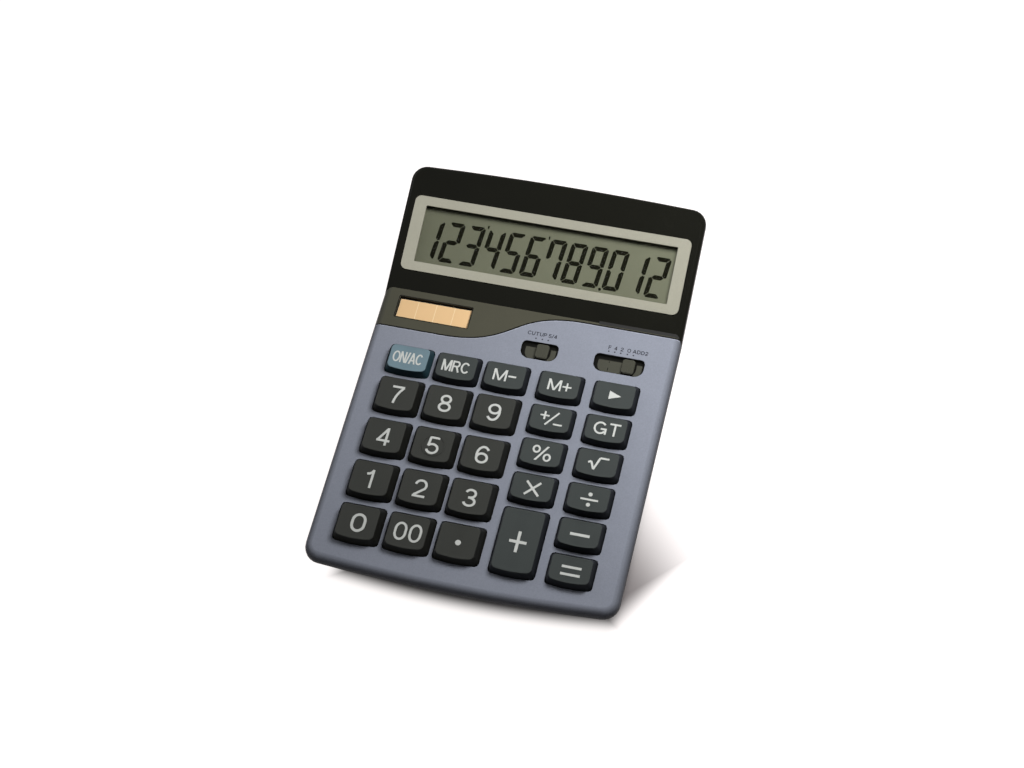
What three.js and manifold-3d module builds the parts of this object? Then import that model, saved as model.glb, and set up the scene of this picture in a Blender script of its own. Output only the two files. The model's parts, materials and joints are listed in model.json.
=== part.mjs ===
// Desktop calculator with a tilting display, in millimetres, +Z up, its front towards -Y.
// It stands on four feet, and the origin is the middle of its box at desk level.
// The face is a plane that slopes up to the back. Pieces on it are laid out in face coordinates:
// x across from the middle, y up the face from the middle of its front edge, z out of the face.
// Pieces of the display head use head coordinates: the same, but from the hinge axis, with y up
// the head and z out of its front.
import * as THREE from "three";
import { mergeVertices } from "three/addons/utils/BufferGeometryUtils.js";
import Module from "manifold-3d";

const wasm = await Module();
wasm.setup();

// Case
const caseWidth = 137;
const faceLength = 139.3;
const frontBow = 2.8;
const caseCorner = 7.5;
const rearCorner = 3;
const edgeRound = 3.4;
const wall = 2;
const rimDepth = 4.6;
const frontHeight = 14;
const faceSlope = THREE.MathUtils.degToRad(7);

// Lower shell
const rimInset = 0.4;
const undercut = 3.5;
const undercutDepth = 3.5;
const lowerDraft = 3;
const baseThickness = 2.4;
const deckStep = 9.5;
const deckLength = 50;
const deckCorner = 8;
const ribMargin = 13.5;
const ribThickness = 1.6;

// Gaps: between shells, between a piece and its seat, and between a pin and its bore
const seamGap = 0.25;
const seatGap = 0.3;
const pinGap = 0.15;

// Display head
const headThickness = 12;
const headTopMargin = 15.75;
const headTopBow = 1.4;
const headCorner = 7;
const headRound = 2;
const headRimDepth = 3.5;
const headTaper = 4.5;
const headRest = THREE.MathUtils.degToRad(16);
const hingeDrop = 5.7;
const barrelGap = 0.35;
const knuckleMargin = 23.5;
const knuckleWidth = 10;
const knuckleRadius = 3.2;
const neckWidth = 3;
const pinRadius = 1.25;
const bossWidth = 3;

// Display frame, window and what lies behind them. The frame starts above the hinge axis.
const frameStart = 8.35;
const frameSideMargin = 4.4;
const frameSideBorder = 5.7;
const frameBorder = 4.3;
const frameCorner = 2.8;
const frameThickness = 1;
const frameProud = 0.15;
const windowHeight = 26.9;
const windowCorner = 0.4;
const windowMargin = 3;
const lensThickness = 0.8;
const glassThickness = 1.8;
const stripThickness = 1.2;
const stripWidth = 2;
const displayBoardThickness = 1.2;

// Keys: their margins to the edges of the face, the gaps between them, and their form
const keysLeftMargin = 11.15;
const keysRightMargin = 12.95;
const keysBackMargin = 28.9;
const numberFrontMargin = 12.2;
const functionFrontMargin = 11.1;
const numberColumnGap = 2.1;
const functionColumnGap = 4.6;
const numberRowGap = 2.9;
const functionRowGap = 2.1;
const firstRowGap = 1.9;
const keyBow = 0.9;
const keyCorner = 1.8;
const keyRise = 4;
const shoulderDrop = 1;
const sideDraft = 1.85;
const backDraft = 2.3;
const frontDraft = 0.9;
const keyClearance = 0.35;
const flangeReach = 0.75;
const flangeThickness = 1.2;
const keyTravel = 1.5;

// Trim panel across the back of the face
const skin = 1.2;
const panelDepth = 19.9;
const panelStrip = 1.2;
const sweepStartMargin = 31.1;
const sweepEndMargin = 43.9;

// Solar cell
const cellSideMargin = 8.1;
const cellSetback = 9.15;
const cellOpeningWidth = 33.9;
const cellOpeningHeight = 10.9;
const cellMargin = 0.9;
const cellThickness = 1.1;

// Slide switches
const switchSetback = 19.4;
const switchSideMargin = 13.5;
const switchGap = 16.3;
const switchHeight = 8.9;
const roundingWidth = 16.7;
const roundingKnobOffset = 1.35;
const decimalWidth = 22.6;
const decimalKnobOffset = 4.25;
const slotFrontCorner = 4.2;
const slotBackCorner = 2.2;
const wellDepth = 1.8;
const wellFloor = 1.2;
const knobWidth = 5.6;
const knobHeight = 7.2;
const knobCorner = 1.2;
const knobProud = 0.5;
const stemSize = 2.2;
const footSize = 4.4;

// Keyboard sheet and boards
const sheetMargin = 16;
const sheetFront = 10;
const sheetBorder = 1.6;
const sheetThickness = 1;
const domeRadius = 3.4;
const domeHeight = 1;
const boardMargin = 17;
const boardFront = 9.5;
const boardSetback = 14.8;
const boardThickness = 1.6;
const chipRadius = 6;
const chipHeight = 1.6;
const capacitorRadius = 2.5;
const capacitorLength = 8;

// Flat cable from the main board to the display
const ribbonWidth = 12;
const ribbonThickness = 0.3;
const ribbonSlot = 14;

// Battery, its contacts and its door
const batteryMargin = 33;
const batterySetback = 28.7;
const batteryRadius = 5.8;
const batteryHeight = 5.4;
const ringThickness = 1.5;
const contactThickness = 0.4;
const contactWidth = 4;
const doorWidth = 20;
const doorLength = 26;
const doorThickness = 0.9;
const doorTravel = 6;
const doorCorner = 1.5;

// Case screws and feet
const frontScrewMargin = 8.2;
const rearScrewMargin = 10.9;
const frontScrewY = 11.6;
const rearScrewSetback = 25.3;
const screwRadius = 1.1;
const screwHeadRadius = 2.2;
const screwHeadHeight = 1.4;
const postRadius = 2;
const bossRadius = 3.4;
const postLength = 5;
const footRadius = 5;
const footHeight = 2;
const footPocket = 0.8;
const frontFootMargin = 16.5;
const rearFootMargin = 13;
const frontFootY = 14;
const rearFootSetback = 38.7;

// Where cuts run past what they cut, and the least share of a radius that an inset leaves
const overrun = 5;
const radiusShare = 0.15;
const shoulderShare = 0.42;
const sweepReachShare = 0.565;

// Counts
const keyColumns = 5;
const numberRows = 4;
const functionRows = 6;
const cornerSteps = 6;
const bowSteps = 8;
const keyCornerSteps = 2;
const keyBowSteps = 3;
const roundSteps = 4;
const barrelSteps = 12;
const bodySides = 24;
const smallSides = 16;
const domeSides = 10;

const faceToLevel = new THREE.Matrix4()
  .makeRotationX(faceSlope)
  .setPosition(0, 0, frontHeight);
const barrelRadius = headThickness / 2;
const coveRadius = barrelRadius + barrelGap;
const axisY = faceLength + Math.sqrt(coveRadius ** 2 - hingeDrop ** 2);
const axisZ = -hingeDrop;
const deckLevel = axisZ - coveRadius;
const bodyBack = axisY + wall + seatGap;
const deckBack = axisY + deckLength;
const tubDepth = frontHeight + deckBack * Math.sin(faceSlope) + deckLength * Math.sin(faceSlope);
const baseTop = footHeight + baseThickness;
const deckWidth = caseWidth - 2 * deckStep;
const knuckleSpacing = caseWidth - 2 * knuckleMargin;

// Head, from the size of its window
const frameWidth = caseWidth - 2 * frameSideMargin;
const frameHeight = windowHeight + 2 * frameBorder;
const windowWidth = frameWidth - 2 * frameSideBorder;
const windowMiddle = frameStart + frameHeight / 2;
const headLength = frameStart + frameHeight + headTopMargin;

// Keys share the width and length that their margins and gaps leave
const columnGaps = 2 * numberColumnGap + 2 * functionColumnGap;
const keyWidth = (caseWidth - keysLeftMargin - keysRightMargin - columnGaps) / keyColumns;
const numberPitch = keyWidth + numberColumnGap;
const functionPitch = keyWidth + functionColumnGap;
const firstColumn = (keyWidth - caseWidth) / 2 + keysLeftMargin;
const functionColumn = firstColumn + 2 * numberPitch + functionPitch;
const functionTopEdge = faceLength - keysBackMargin;
const functionLength = functionTopEdge - functionFrontMargin;
const functionKeyLength = (functionLength - (functionRows - 1) * functionRowGap) / functionRows;
const functionRowPitch = functionKeyLength + functionRowGap;
const numberTopEdge = functionTopEdge - functionKeyLength - firstRowGap;
const numberLength = numberTopEdge - numberFrontMargin;
const numberKeyLength = (numberLength - (numberRows - 1) * numberRowGap) / numberRows;
const numberRowPitch = numberKeyLength + numberRowGap;

// Panel, cell and switches, from the edges of the face
const sweepStart = -caseWidth / 2 + sweepStartMargin;
const sweepEnd = caseWidth / 2 - sweepEndMargin;
const cellMiddleX = (cellOpeningWidth - caseWidth) / 2 + cellSideMargin;
const cellMiddleY = faceLength - cellSetback;
const switchMiddleY = faceLength - switchSetback;
const decimalMiddle = (caseWidth - decimalWidth) / 2 - switchSideMargin;
const roundingMiddle = decimalMiddle - (decimalWidth + roundingWidth) / 2 - switchGap;

// Boards, battery, screws and feet
const sheetWidth = caseWidth - 2 * sheetMargin;
const sheetBack = functionTopEdge + sheetBorder;
const boardWidth = caseWidth - 2 * boardMargin;
const boardBack = faceLength - boardSetback;
const ribSpacing = boardWidth - 2 * ribMargin;
const batteryX = deckWidth / 2 - batteryMargin;
const batteryY = faceLength + batterySetback;
const frontScrewSpacing = caseWidth - 2 * frontScrewMargin;
const rearScrewSpacing = caseWidth - 2 * rearScrewMargin;
const rearScrewY = faceLength - rearScrewSetback;
const frontFootSpacing = caseWidth - 2 * frontFootMargin;
const rearFootSpacing = deckWidth - 2 * rearFootMargin;
const rearFootY = faceLength + rearFootSetback;

// Materials, coloured as the pieces look in daylight
const material = (color, roughness, metalness = 0) =>
  new THREE.MeshStandardMaterial({ color, roughness, metalness });
const bluePlastic = material(0x8d93a6, 0.45, 0.25);
const blackPlastic = material(0x1c1c19, 0.3);
const greyPlastic = material(0x4a4842, 0.4);
const darkPlastic = material(0x23241f, 0.6);
const numberPlastic = material(0x34332e, 0.45);
const functionPlastic = material(0x3c3f3e, 0.45);
const tealPlastic = material(0x6f8f98, 0.45);
const silverPaint = material(0xb0aea2, 0.4, 0.4);
const clearPlastic = material(0xe4e8e4, 0.08);
const lcdGlass = material(0x70735f, 0.3);
const cellGlass = material(0xe6c595, 0.35);
const rubber = material(0x3a3a3c, 0.85);
const silicone = material(0xb9b7ae, 0.7);
const boardGreen = material(0x2f5b3a, 0.5);
const epoxy = material(0x151515, 0.35);
const steel = material(0xb8b8b4, 0.3, 1);
const amberFilm = material(0xb9772e, 0.4);

// Outline of a pad: straight sides, round corners, and ends that may bow out. Every point is
// [x, y], and they run anticlockwise from the right side round the back.
function bowedEnd(halfWidth, middle, bow, radius, steps) {
  const bowRadius = bow > 0 ? (halfWidth ** 2 + bow ** 2) / (2 * bow) : 0;
  const lean = bow > 0 ? Math.asin((halfWidth - radius) / (bowRadius - radius)) : 0;
  const cornerX = halfWidth - radius;
  const sagitta = bow > 0 ? bowRadius - Math.cos(lean) * (bowRadius - radius) : radius;
  const cornerY = middle - sagitta;
  const turn = Math.PI / 2 - lean;
  const right = [];
  for (let i = 0; i <= steps.corner; i++) {
    const angle = (turn * i) / steps.corner;
    right.push([cornerX + radius * Math.cos(angle), cornerY + radius * Math.sin(angle)]);
  }
  const bowed = [];
  for (let i = 1; bow > 0 && i < steps.bow; i++) {
    const angle = turn + (2 * lean * i) / steps.bow;
    bowed.push([bowRadius * Math.cos(angle), middle - bowRadius + bowRadius * Math.sin(angle)]);
  }
  const left = right.map(([x, y]) => [-x, y]).reverse();
  return [...right, ...bowed, ...left];
}

function padOutline(pad, steps, inset = 0) {
  const { width, front, back, bowFront = 0, bowBack = 0, frontRadius, backRadius } = pad;
  const half = width / 2 - inset;
  const innerFront = Math.max(frontRadius - inset, frontRadius * radiusShare);
  const innerBack = Math.max(backRadius - inset, backRadius * radiusShare);
  const backEnd = bowedEnd(half, back - inset, bowBack, innerBack, steps);
  const frontEnd = bowedEnd(half, -front - inset, bowFront, innerFront, steps);
  return [...backEnd, ...frontEnd.map(([x, y]) => [-x, -y])];
}

const caseSteps = { corner: cornerSteps, bow: bowSteps };
const keySteps = { corner: keyCornerSteps, bow: keyBowSteps };

// A closed solid through rings of points, each ring with its own height, lowest ring first
function loft(rings) {
  const count = rings[0].points.length;
  const positions = rings.flatMap((ring) => ring.points.flatMap(([x, y]) => [x, y, ring.z]));
  const indices = [];
  for (let level = 0; level < rings.length - 1; level++) {
    for (let i = 0; i < count; i++) {
      const a = level * count + i;
      const b = level * count + ((i + 1) % count);
      indices.push(a, b, b + count, a, b + count, a + count);
    }
  }
  const cap = (ring, start, flip) => {
    const contour = ring.points.map(([x, y]) => new THREE.Vector2(x, y));
    for (const [a, b, c] of THREE.ShapeUtils.triangulateShape(contour, [])) {
      indices.push(start + a, start + (flip ? c : b), start + (flip ? b : c));
    }
  };
  cap(rings[0], 0, true);
  cap(rings.at(-1), (rings.length - 1) * count, false);
  const geometry = new THREE.BufferGeometry();
  geometry.setAttribute("position", new THREE.Float32BufferAttribute(positions, 3));
  geometry.setIndex(indices);
  return geometry;
}

// Booleans: a closed geometry becomes a solid, and a solid becomes a geometry again
function solid(geometry) {
  const bare = new THREE.BufferGeometry();
  bare.setAttribute("position", geometry.attributes.position.clone());
  if (geometry.index) bare.setIndex(geometry.index.clone());
  const merged = mergeVertices(bare);
  const vertProperties = new Float32Array(merged.attributes.position.array);
  const triVerts = new Uint32Array(merged.index.array);
  return new wasm.Manifold(new wasm.Mesh({ numProp: 3, vertProperties, triVerts }));
}

function geometryOf(body) {
  const { vertProperties, triVerts } = body.getMesh();
  const geometry = new THREE.BufferGeometry();
  geometry.setAttribute("position", new THREE.Float32BufferAttribute(vertProperties, 3));
  geometry.setIndex(Array.from(triVerts));
  geometry.computeVertexNormals();
  return geometry;
}

const union = (bodies) => bodies.reduce((sum, body) => sum.add(body));

// A box between two corners
function block(low, high) {
  const size = high.map((value, axis) => value - low[axis]);
  const middle = high.map((value, axis) => (value + low[axis]) / 2);
  return new THREE.BoxGeometry(...size).translate(...middle);
}

// A cylinder along Z between two heights
function disc(radius, x, y, low, high, sides = bodySides) {
  return new THREE.CylinderGeometry(radius, radius, high - low, sides)
    .rotateX(Math.PI / 2)
    .translate(x, y, (low + high) / 2);
}

// A cylinder along X about the line y, z
function roller(radius, y, z, left, right, sides = bodySides) {
  return new THREE.CylinderGeometry(radius, radius, right - left, sides)
    .rotateZ(Math.PI / 2)
    .translate((left + right) / 2, y, z);
}

// A side profile in y and z, drawn out along X between left and right
function drawnAcross(profile, left, right) {
  const shape = new THREE.Shape(profile.map(([y, z]) => new THREE.Vector2(y, z)));
  return new THREE.ExtrudeGeometry(shape, { depth: right - left, bevelEnabled: false })
    .applyMatrix4(new THREE.Matrix4().set(0, 0, 1, left, 1, 0, 0, 0, 0, 1, 0, 0, 0, 0, 0, 1));
}

function slab(outline, low, high) {
  return loft([
    { points: outline, z: low },
    { points: outline, z: high },
  ]);
}

function rectangle(x, y, width, height, frontRadius, backRadius = frontRadius) {
  const pad = { width, front: -height / 2, back: height / 2, frontRadius, backRadius };
  return padOutline(pad, caseSteps).map(([px, py]) => [px + x, py + y]);
}

const root = new THREE.Group();
const face = new THREE.Group();
face.rotation.x = faceSlope;
face.position.z = frontHeight;
root.add(face);
const head = new THREE.Group();
head.position.set(0, axisY, axisZ);
head.rotation.x = headRest;
face.add(head);

function place(group, name, geometry, surface, x = 0, y = 0, z = 0) {
  const mesh = new THREE.Mesh(geometry, surface);
  mesh.name = name;
  mesh.position.set(x, y, z);
  group.add(mesh);
  return mesh;
}

// Space that the round lower edge of the head turns in, with the deck below it, in face coordinates
function headSpace() {
  const reach = caseWidth / 2 + overrun;
  const round = solid(roller(coveRadius, axisY, axisZ, -reach, reach, 2 * bodySides));
  const low = [-reach, axisY, deckLevel];
  const high = [reach, deckBack + overrun, headThickness];
  return round.add(solid(block(low, high)));
}

// Upper shell: the face with round edges, moved in by an inset all round
const casePad = {
  width: caseWidth,
  front: 0,
  back: bodyBack,
  bowFront: frontBow,
  frontRadius: caseCorner,
  backRadius: rearCorner,
};

function upperForm(inset, depth) {
  const round = Math.max(edgeRound - inset, edgeRound * radiusShare);
  const rings = [{ points: padOutline(casePad, caseSteps, inset), z: -depth }];
  for (let i = 0; i <= roundSteps; i++) {
    const angle = (Math.PI / 2) * (i / roundSteps);
    const points = padOutline(casePad, caseSteps, inset + round * (1 - Math.cos(angle)));
    rings.push({ points, z: -inset - round * (1 - Math.sin(angle)) });
  }
  return solid(loft(rings));
}

// Region of the trim panel: everything behind a line that sweeps back from left to right
function panelRegion(widen) {
  const left = -caseWidth / 2 - overrun;
  const right = caseWidth / 2 + overrun;
  const low = faceLength - panelDepth - widen;
  const high = faceLength - panelStrip - widen;
  const reach = (sweepEnd - sweepStart) * sweepReachShare;
  const shape = new THREE.Shape();
  shape.moveTo(left, low);
  shape.lineTo(sweepStart, low);
  shape.bezierCurveTo(sweepStart + reach, low, sweepEnd - reach, high, sweepEnd, high);
  shape.lineTo(right, high);
  shape.lineTo(right, bodyBack + overrun);
  shape.lineTo(left, bodyBack + overrun);
  const geometry = new THREE.ExtrudeGeometry(shape, {
    depth: rimDepth + 2 * overrun,
    bevelEnabled: false,
    curveSegments: bodySides,
  });
  return solid(geometry.translate(0, 0, -rimDepth - overrun));
}

function keyList() {
  const keys = [];
  const add = (name, x, topEdge, length, surface) => keys.push({ name, x, topEdge, length, surface });
  const topRow = ["on_ac", "mrc", "m_minus"];
  topRow.forEach((name, column) => {
    const surface = column === 0 ? tealPlastic : functionPlastic;
    add(name, firstColumn + column * numberPitch, functionTopEdge, functionKeyLength, surface);
  });
  const numbers = [
    ["seven", "eight", "nine"],
    ["four", "five", "six"],
    ["one", "two", "three"],
    ["zero", "double_zero", "point"],
  ];
  numbers.forEach((names, row) => {
    names.forEach((name, column) => {
      const topEdge = numberTopEdge - row * numberRowPitch;
      add(name, firstColumn + column * numberPitch, topEdge, numberKeyLength, numberPlastic);
    });
  });
  const functionColumns = [
    ["m_plus", "plus_minus", "percent", "multiply", "plus"],
    ["arrow", "gt", "root", "divide", "minus", "equals"],
  ];
  functionColumns.forEach((names, column) => {
    names.forEach((name, row) => {
      const topEdge = functionTopEdge - row * functionRowPitch;
      const length = functionKeyLength + (name === "plus" ? functionRowPitch : 0);
      add(name, functionColumn + column * functionPitch, topEdge, length, functionPlastic);
    });
  });
  return keys;
}

const keys = keyList();

// Outline of a key about its own middle: positive insets draw it in, negative ones widen it
function keyOutline(length, side, frontInset, backInset) {
  const pad = {
    width: keyWidth - 2 * side,
    front: -length / 2 + frontInset,
    back: length / 2 - backInset,
    bowFront: keyBow,
    frontRadius: keyCorner,
    backRadius: keyCorner,
  };
  return padOutline(pad, keySteps);
}

const evenKeyOutline = (length, inset) => keyOutline(length, inset, inset, inset);

// A key: a flange that the face holds down, a straight skirt in the face's opening, walls that
// lean in, a rounded shoulder and a flat top
function keyGeometry(length) {
  const flangeTop = -wall - seatGap;
  const shoulder = shoulderShare;
  const flange = evenKeyOutline(length, -flangeReach);
  const skirt = evenKeyOutline(length, 0);
  const waist = keyOutline(length, sideDraft * shoulder, frontDraft * shoulder, backDraft * shoulder);
  const top = keyOutline(length, sideDraft, frontDraft, backDraft);
  return loft([
    { points: flange, z: flangeTop - flangeThickness },
    { points: flange, z: flangeTop },
    { points: skirt, z: flangeTop },
    { points: skirt, z: 0 },
    { points: waist, z: keyRise - shoulderDrop },
    { points: top, z: keyRise },
  ]);
}

const keyMiddleY = ({ topEdge, length }) => topEdge - length / 2;

for (const key of keys) {
  place(face, `key_${key.name}`, keyGeometry(key.length), key.surface, key.x, keyMiddleY(key), 0);
}

// Slide switches: a knob in a sunk well, its stem through a slit, and a foot under the well's floor
const switches = [
  { name: "rounding_switch", middle: roundingMiddle, width: roundingWidth, offset: roundingKnobOffset },
  { name: "decimal_switch", middle: decimalMiddle, width: decimalWidth, offset: decimalKnobOffset },
];
const wellTop = -wellDepth;
const wellBottom = wellTop - wellFloor;

for (const { name, middle, offset } of switches) {
  const upper = slab(rectangle(0, 0, knobWidth, knobHeight, knobCorner), wellTop + seatGap, knobProud);
  const footTop = wellBottom - seatGap;
  const stem = block([-stemSize / 2, -stemSize / 2, footTop - seatGap], [stemSize / 2, stemSize / 2, 0]);
  const foot = block([-footSize / 2, -footSize / 2, footTop - wellFloor], [footSize / 2, footSize / 2, footTop]);
  const knobBody = union([solid(upper), solid(stem), solid(foot)]);
  place(face, name, geometryOf(knobBody), darkPlastic, middle + offset, switchMiddleY, 0);
}

// Level coordinates of a point in face coordinates
const level = (x, y, z) => new THREE.Vector3(x, y, z).applyMatrix4(faceToLevel);
const screwRows = [
  { spacing: frontScrewSpacing, y: frontScrewY },
  { spacing: rearScrewSpacing, y: rearScrewY },
];
const screws = screwRows.flatMap(({ spacing, y }) =>
  [-spacing / 2, spacing / 2].map((x) => ({ x, faceY: y, levelY: level(x, y, 0).y })),
);
const postFoot = ({ x, faceY }) => level(x, faceY, -wall - postLength).z;

function topCase() {
  const shell = upperForm(0, rimDepth).subtract(upperForm(wall, rimDepth + overrun));
  const wells = switches.map(({ middle, width }) =>
    slab(
      rectangle(middle, switchMiddleY, width + 2 * wall, switchHeight + 2 * wall, slotFrontCorner),
      wellBottom,
      -wall / 2,
    ),
  );
  const levelToFace = faceToLevel.clone().invert();
  const posts = screws.map((screw) => {
    const top = level(screw.x, screw.faceY, -wall / 2).z;
    return disc(postRadius, screw.x, screw.levelY, postFoot(screw), top, smallSides).applyMatrix4(levelToFace);
  });
  const bores = screws.map((screw) => {
    const top = level(screw.x, screw.faceY, -wall - seatGap).z;
    const low = postFoot(screw) - overrun;
    return disc(screwRadius + pinGap, screw.x, screw.levelY, low, top, smallSides).applyMatrix4(levelToFace);
  });
  const slits = switches.flatMap(({ middle, width }) => {
    const opening = rectangle(middle, switchMiddleY, width, switchHeight, slotFrontCorner, slotBackCorner);
    const sunk = slab(opening, wellTop, overrun);
    const half = (width - slotFrontCorner) / 2;
    const slot = stemSize / 2 + seatGap;
    const low = [middle - half, switchMiddleY - slot, wellBottom - overrun];
    return [sunk, block(low, [middle + half, switchMiddleY + slot, overrun])];
  });
  const keyHoles = keys.map((key) =>
    slab(
      evenKeyOutline(key.length, -keyClearance).map(([x, y]) => [x + key.x, y + keyMiddleY(key)]),
      -wall - overrun,
      overrun,
    ),
  );
  const cellHole = slab(
    rectangle(
      cellMiddleX,
      cellMiddleY,
      cellOpeningWidth + 2 * cellMargin + 2 * seatGap,
      cellOpeningHeight + 2 * cellMargin + 2 * seatGap,
      windowCorner,
    ),
    -wall - overrun,
    overrun,
  );
  const recess = upperForm(-overrun, rimDepth + overrun)
    .subtract(upperForm(skin, rimDepth + 2 * overrun))
    .intersect(panelRegion(seamGap));
  const cuts = [...bores, ...slits, ...keyHoles, cellHole].map(solid);
  return union([shell, ...[...wells, ...posts].map(solid)])
    .subtract(union(cuts))
    .subtract(recess)
    .subtract(headSpace());
}

place(face, "top_case", geometryOf(topCase()), bluePlastic);

function trimPanel() {
  const skinDepth = skin - seatGap;
  const opening = rectangle(cellMiddleX, cellMiddleY, cellOpeningWidth, cellOpeningHeight, windowCorner);
  return upperForm(0, rimDepth)
    .subtract(upperForm(skinDepth, rimDepth + overrun))
    .intersect(panelRegion(0))
    .subtract(solid(slab(opening, -overrun, overrun)))
    .subtract(headSpace());
}

place(face, "trim_panel", geometryOf(trimPanel()), greyPlastic);

const cellOutline = rectangle(
  cellMiddleX,
  cellMiddleY,
  cellOpeningWidth + 2 * cellMargin,
  cellOpeningHeight + 2 * cellMargin,
  windowCorner,
);
place(face, "solar_cell", slab(cellOutline, -skin - cellThickness, -skin), cellGlass);

// Rubber sheet under the keys. Its domes stand as high as a fully pressed key leaves them.
const keyFoot = -wall - seatGap - flangeThickness;
const domeTop = keyFoot - keyTravel - seatGap;
const sheetTop = domeTop - domeHeight;
const sheetBottom = sheetTop - sheetThickness;

function keySheet() {
  const half = sheetWidth / 2;
  const sheet = solid(block([-half, sheetFront, sheetBottom], [half, sheetBack, sheetTop]));
  const domes = keys.map((key) =>
    solid(
      new THREE.CylinderGeometry(domeRadius / 2, domeRadius, domeHeight + sheetThickness / 2, domeSides)
        .rotateX(Math.PI / 2)
        .translate(key.x, keyMiddleY(key), domeTop - (domeHeight + sheetThickness / 2) / 2),
    ),
  );
  return union([sheet, ...domes]);
}

place(face, "key_membrane", geometryOf(keySheet()), silicone);

const boardTop = sheetBottom - seatGap;
const boardBottom = boardTop - boardThickness;
const boardBlock = block([-boardWidth / 2, boardFront, boardBottom], [boardWidth / 2, boardBack, boardTop]);
place(face, "main_board", boardBlock, boardGreen);

// Chip under a blob of resin, and the capacitor, both hanging from the board's lower face
const blobPoints = [];
for (let i = 0; i <= roundSteps; i++) {
  const angle = (Math.PI / 2) * (i / roundSteps);
  blobPoints.push(new THREE.Vector2(chipRadius * Math.sin(angle), -chipHeight * Math.cos(angle)));
}
blobPoints.push(new THREE.Vector2(0, 0));
const blob = new THREE.LatheGeometry(blobPoints, bodySides).rotateX(Math.PI / 2);
const chipY = (boardFront + boardBack) / 2;
place(face, "controller_chip", blob, epoxy, 0, chipY, boardBottom - seatGap);
const capacitorY = boardBack - 2 * capacitorLength;
const capacitorZ = boardBottom - seatGap - capacitorRadius;
const capacitorGeometry = roller(capacitorRadius, 0, 0, -capacitorLength / 2, capacitorLength / 2, smallSides);
place(face, "capacitor", capacitorGeometry, rubber, -2 * capacitorLength, capacitorY, capacitorZ);

// Rear deck: a cover below the head, a round cove for the head's lower edge and two knuckles
function rearDeck() {
  const coveTop = -wall - seatGap;
  const outer = coveRadius + wall;
  const start = Math.PI - Math.asin((coveTop - axisZ) / coveRadius);
  const end = Math.PI - Math.asin((coveTop - axisZ) / outer);
  const bottom = (3 * Math.PI) / 2;
  const profile = [];
  for (let i = 0; i <= barrelSteps; i++) {
    const angle = start + ((bottom - start) * i) / barrelSteps;
    profile.push([axisY + coveRadius * Math.cos(angle), axisZ + coveRadius * Math.sin(angle)]);
  }
  profile.push([axisY + outer, deckLevel], [axisY + outer, deckLevel - wall]);
  for (let i = 0; i <= barrelSteps; i++) {
    const angle = bottom + ((end - bottom) * i) / barrelSteps;
    profile.push([axisY + outer * Math.cos(angle), axisZ + outer * Math.sin(angle)]);
  }
  const cove = solid(drawnAcross(profile, -deckWidth / 2, deckWidth / 2));
  const deckPad = {
    width: deckWidth,
    front: axisY,
    back: deckBack,
    frontRadius: windowCorner,
    backRadius: deckCorner,
  };
  const plate = solid(slab(padOutline(deckPad, caseSteps), deckLevel - wall, deckLevel));
  const knuckles = [-knuckleSpacing / 2, knuckleSpacing / 2].flatMap((x) => {
    const left = x - knuckleWidth / 2;
    const right = x + knuckleWidth / 2;
    const eye = roller(knuckleRadius, axisY, axisZ, left, right, bodySides);
    const low = [left, axisY - neckWidth / 2, deckLevel - wall / 2];
    return [solid(eye), solid(block(low, [right, axisY + neckWidth / 2, axisZ]))];
  });
  const reach = knuckleSpacing / 2 + knuckleWidth;
  const bore = solid(roller(pinRadius + pinGap, axisY, axisZ, -reach, reach, smallSides));
  const slotLow = [-ribbonSlot / 2, axisY - outer - overrun, axisZ - outer - overrun];
  const slot = solid(block(slotLow, [ribbonSlot / 2, axisY + neckWidth / 2, axisZ - knuckleRadius]));
  return union([cove, plate, ...knuckles]).subtract(bore).subtract(slot);
}

place(face, "rear_deck", geometryOf(rearDeck()), bluePlastic);

// Lower shell, in level coordinates: a tub under the face and a narrower one under the head
const deckPadOuter = {
  width: deckWidth,
  front: axisY - deckLength,
  back: deckBack,
  frontRadius: windowCorner,
  backRadius: deckCorner,
};

function frontTub(inset, top) {
  const ring = (z, step) => ({ points: padOutline(casePad, caseSteps, inset + step), z });
  const kneeDepth = rimDepth + undercutDepth;
  const rings = [
    ring(-tubDepth, undercut + lowerDraft),
    ring(-kneeDepth, undercut),
    ring(-rimDepth - seamGap, rimInset),
  ];
  if (top > 0) rings.push(ring(top, rimInset));
  return solid(loft(rings).applyMatrix4(faceToLevel));
}

function rearTub(inset, top) {
  const outline = padOutline(deckPadOuter, caseSteps, inset);
  return solid(slab(outline, -tubDepth, top).applyMatrix4(faceToLevel));
}

function above(height) {
  const reach = caseWidth / 2 + overrun;
  return solid(block([-reach, -2 * overrun, height], [reach, deckBack + 2 * deckLength, tubDepth + deckLength]));
}

const footPlaces = [
  ["left_front", -frontFootSpacing / 2, frontFootY],
  ["right_front", frontFootSpacing / 2, frontFootY],
  ["left_rear", -rearFootSpacing / 2, rearFootY],
  ["right_rear", rearFootSpacing / 2, rearFootY],
];
const cellLow = footHeight + doorThickness + seatGap;
const cellHigh = cellLow + batteryHeight;
const ringRadius = batteryRadius + seatGap;
const screwSeat = footHeight + screwHeadHeight + seatGap;

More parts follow.
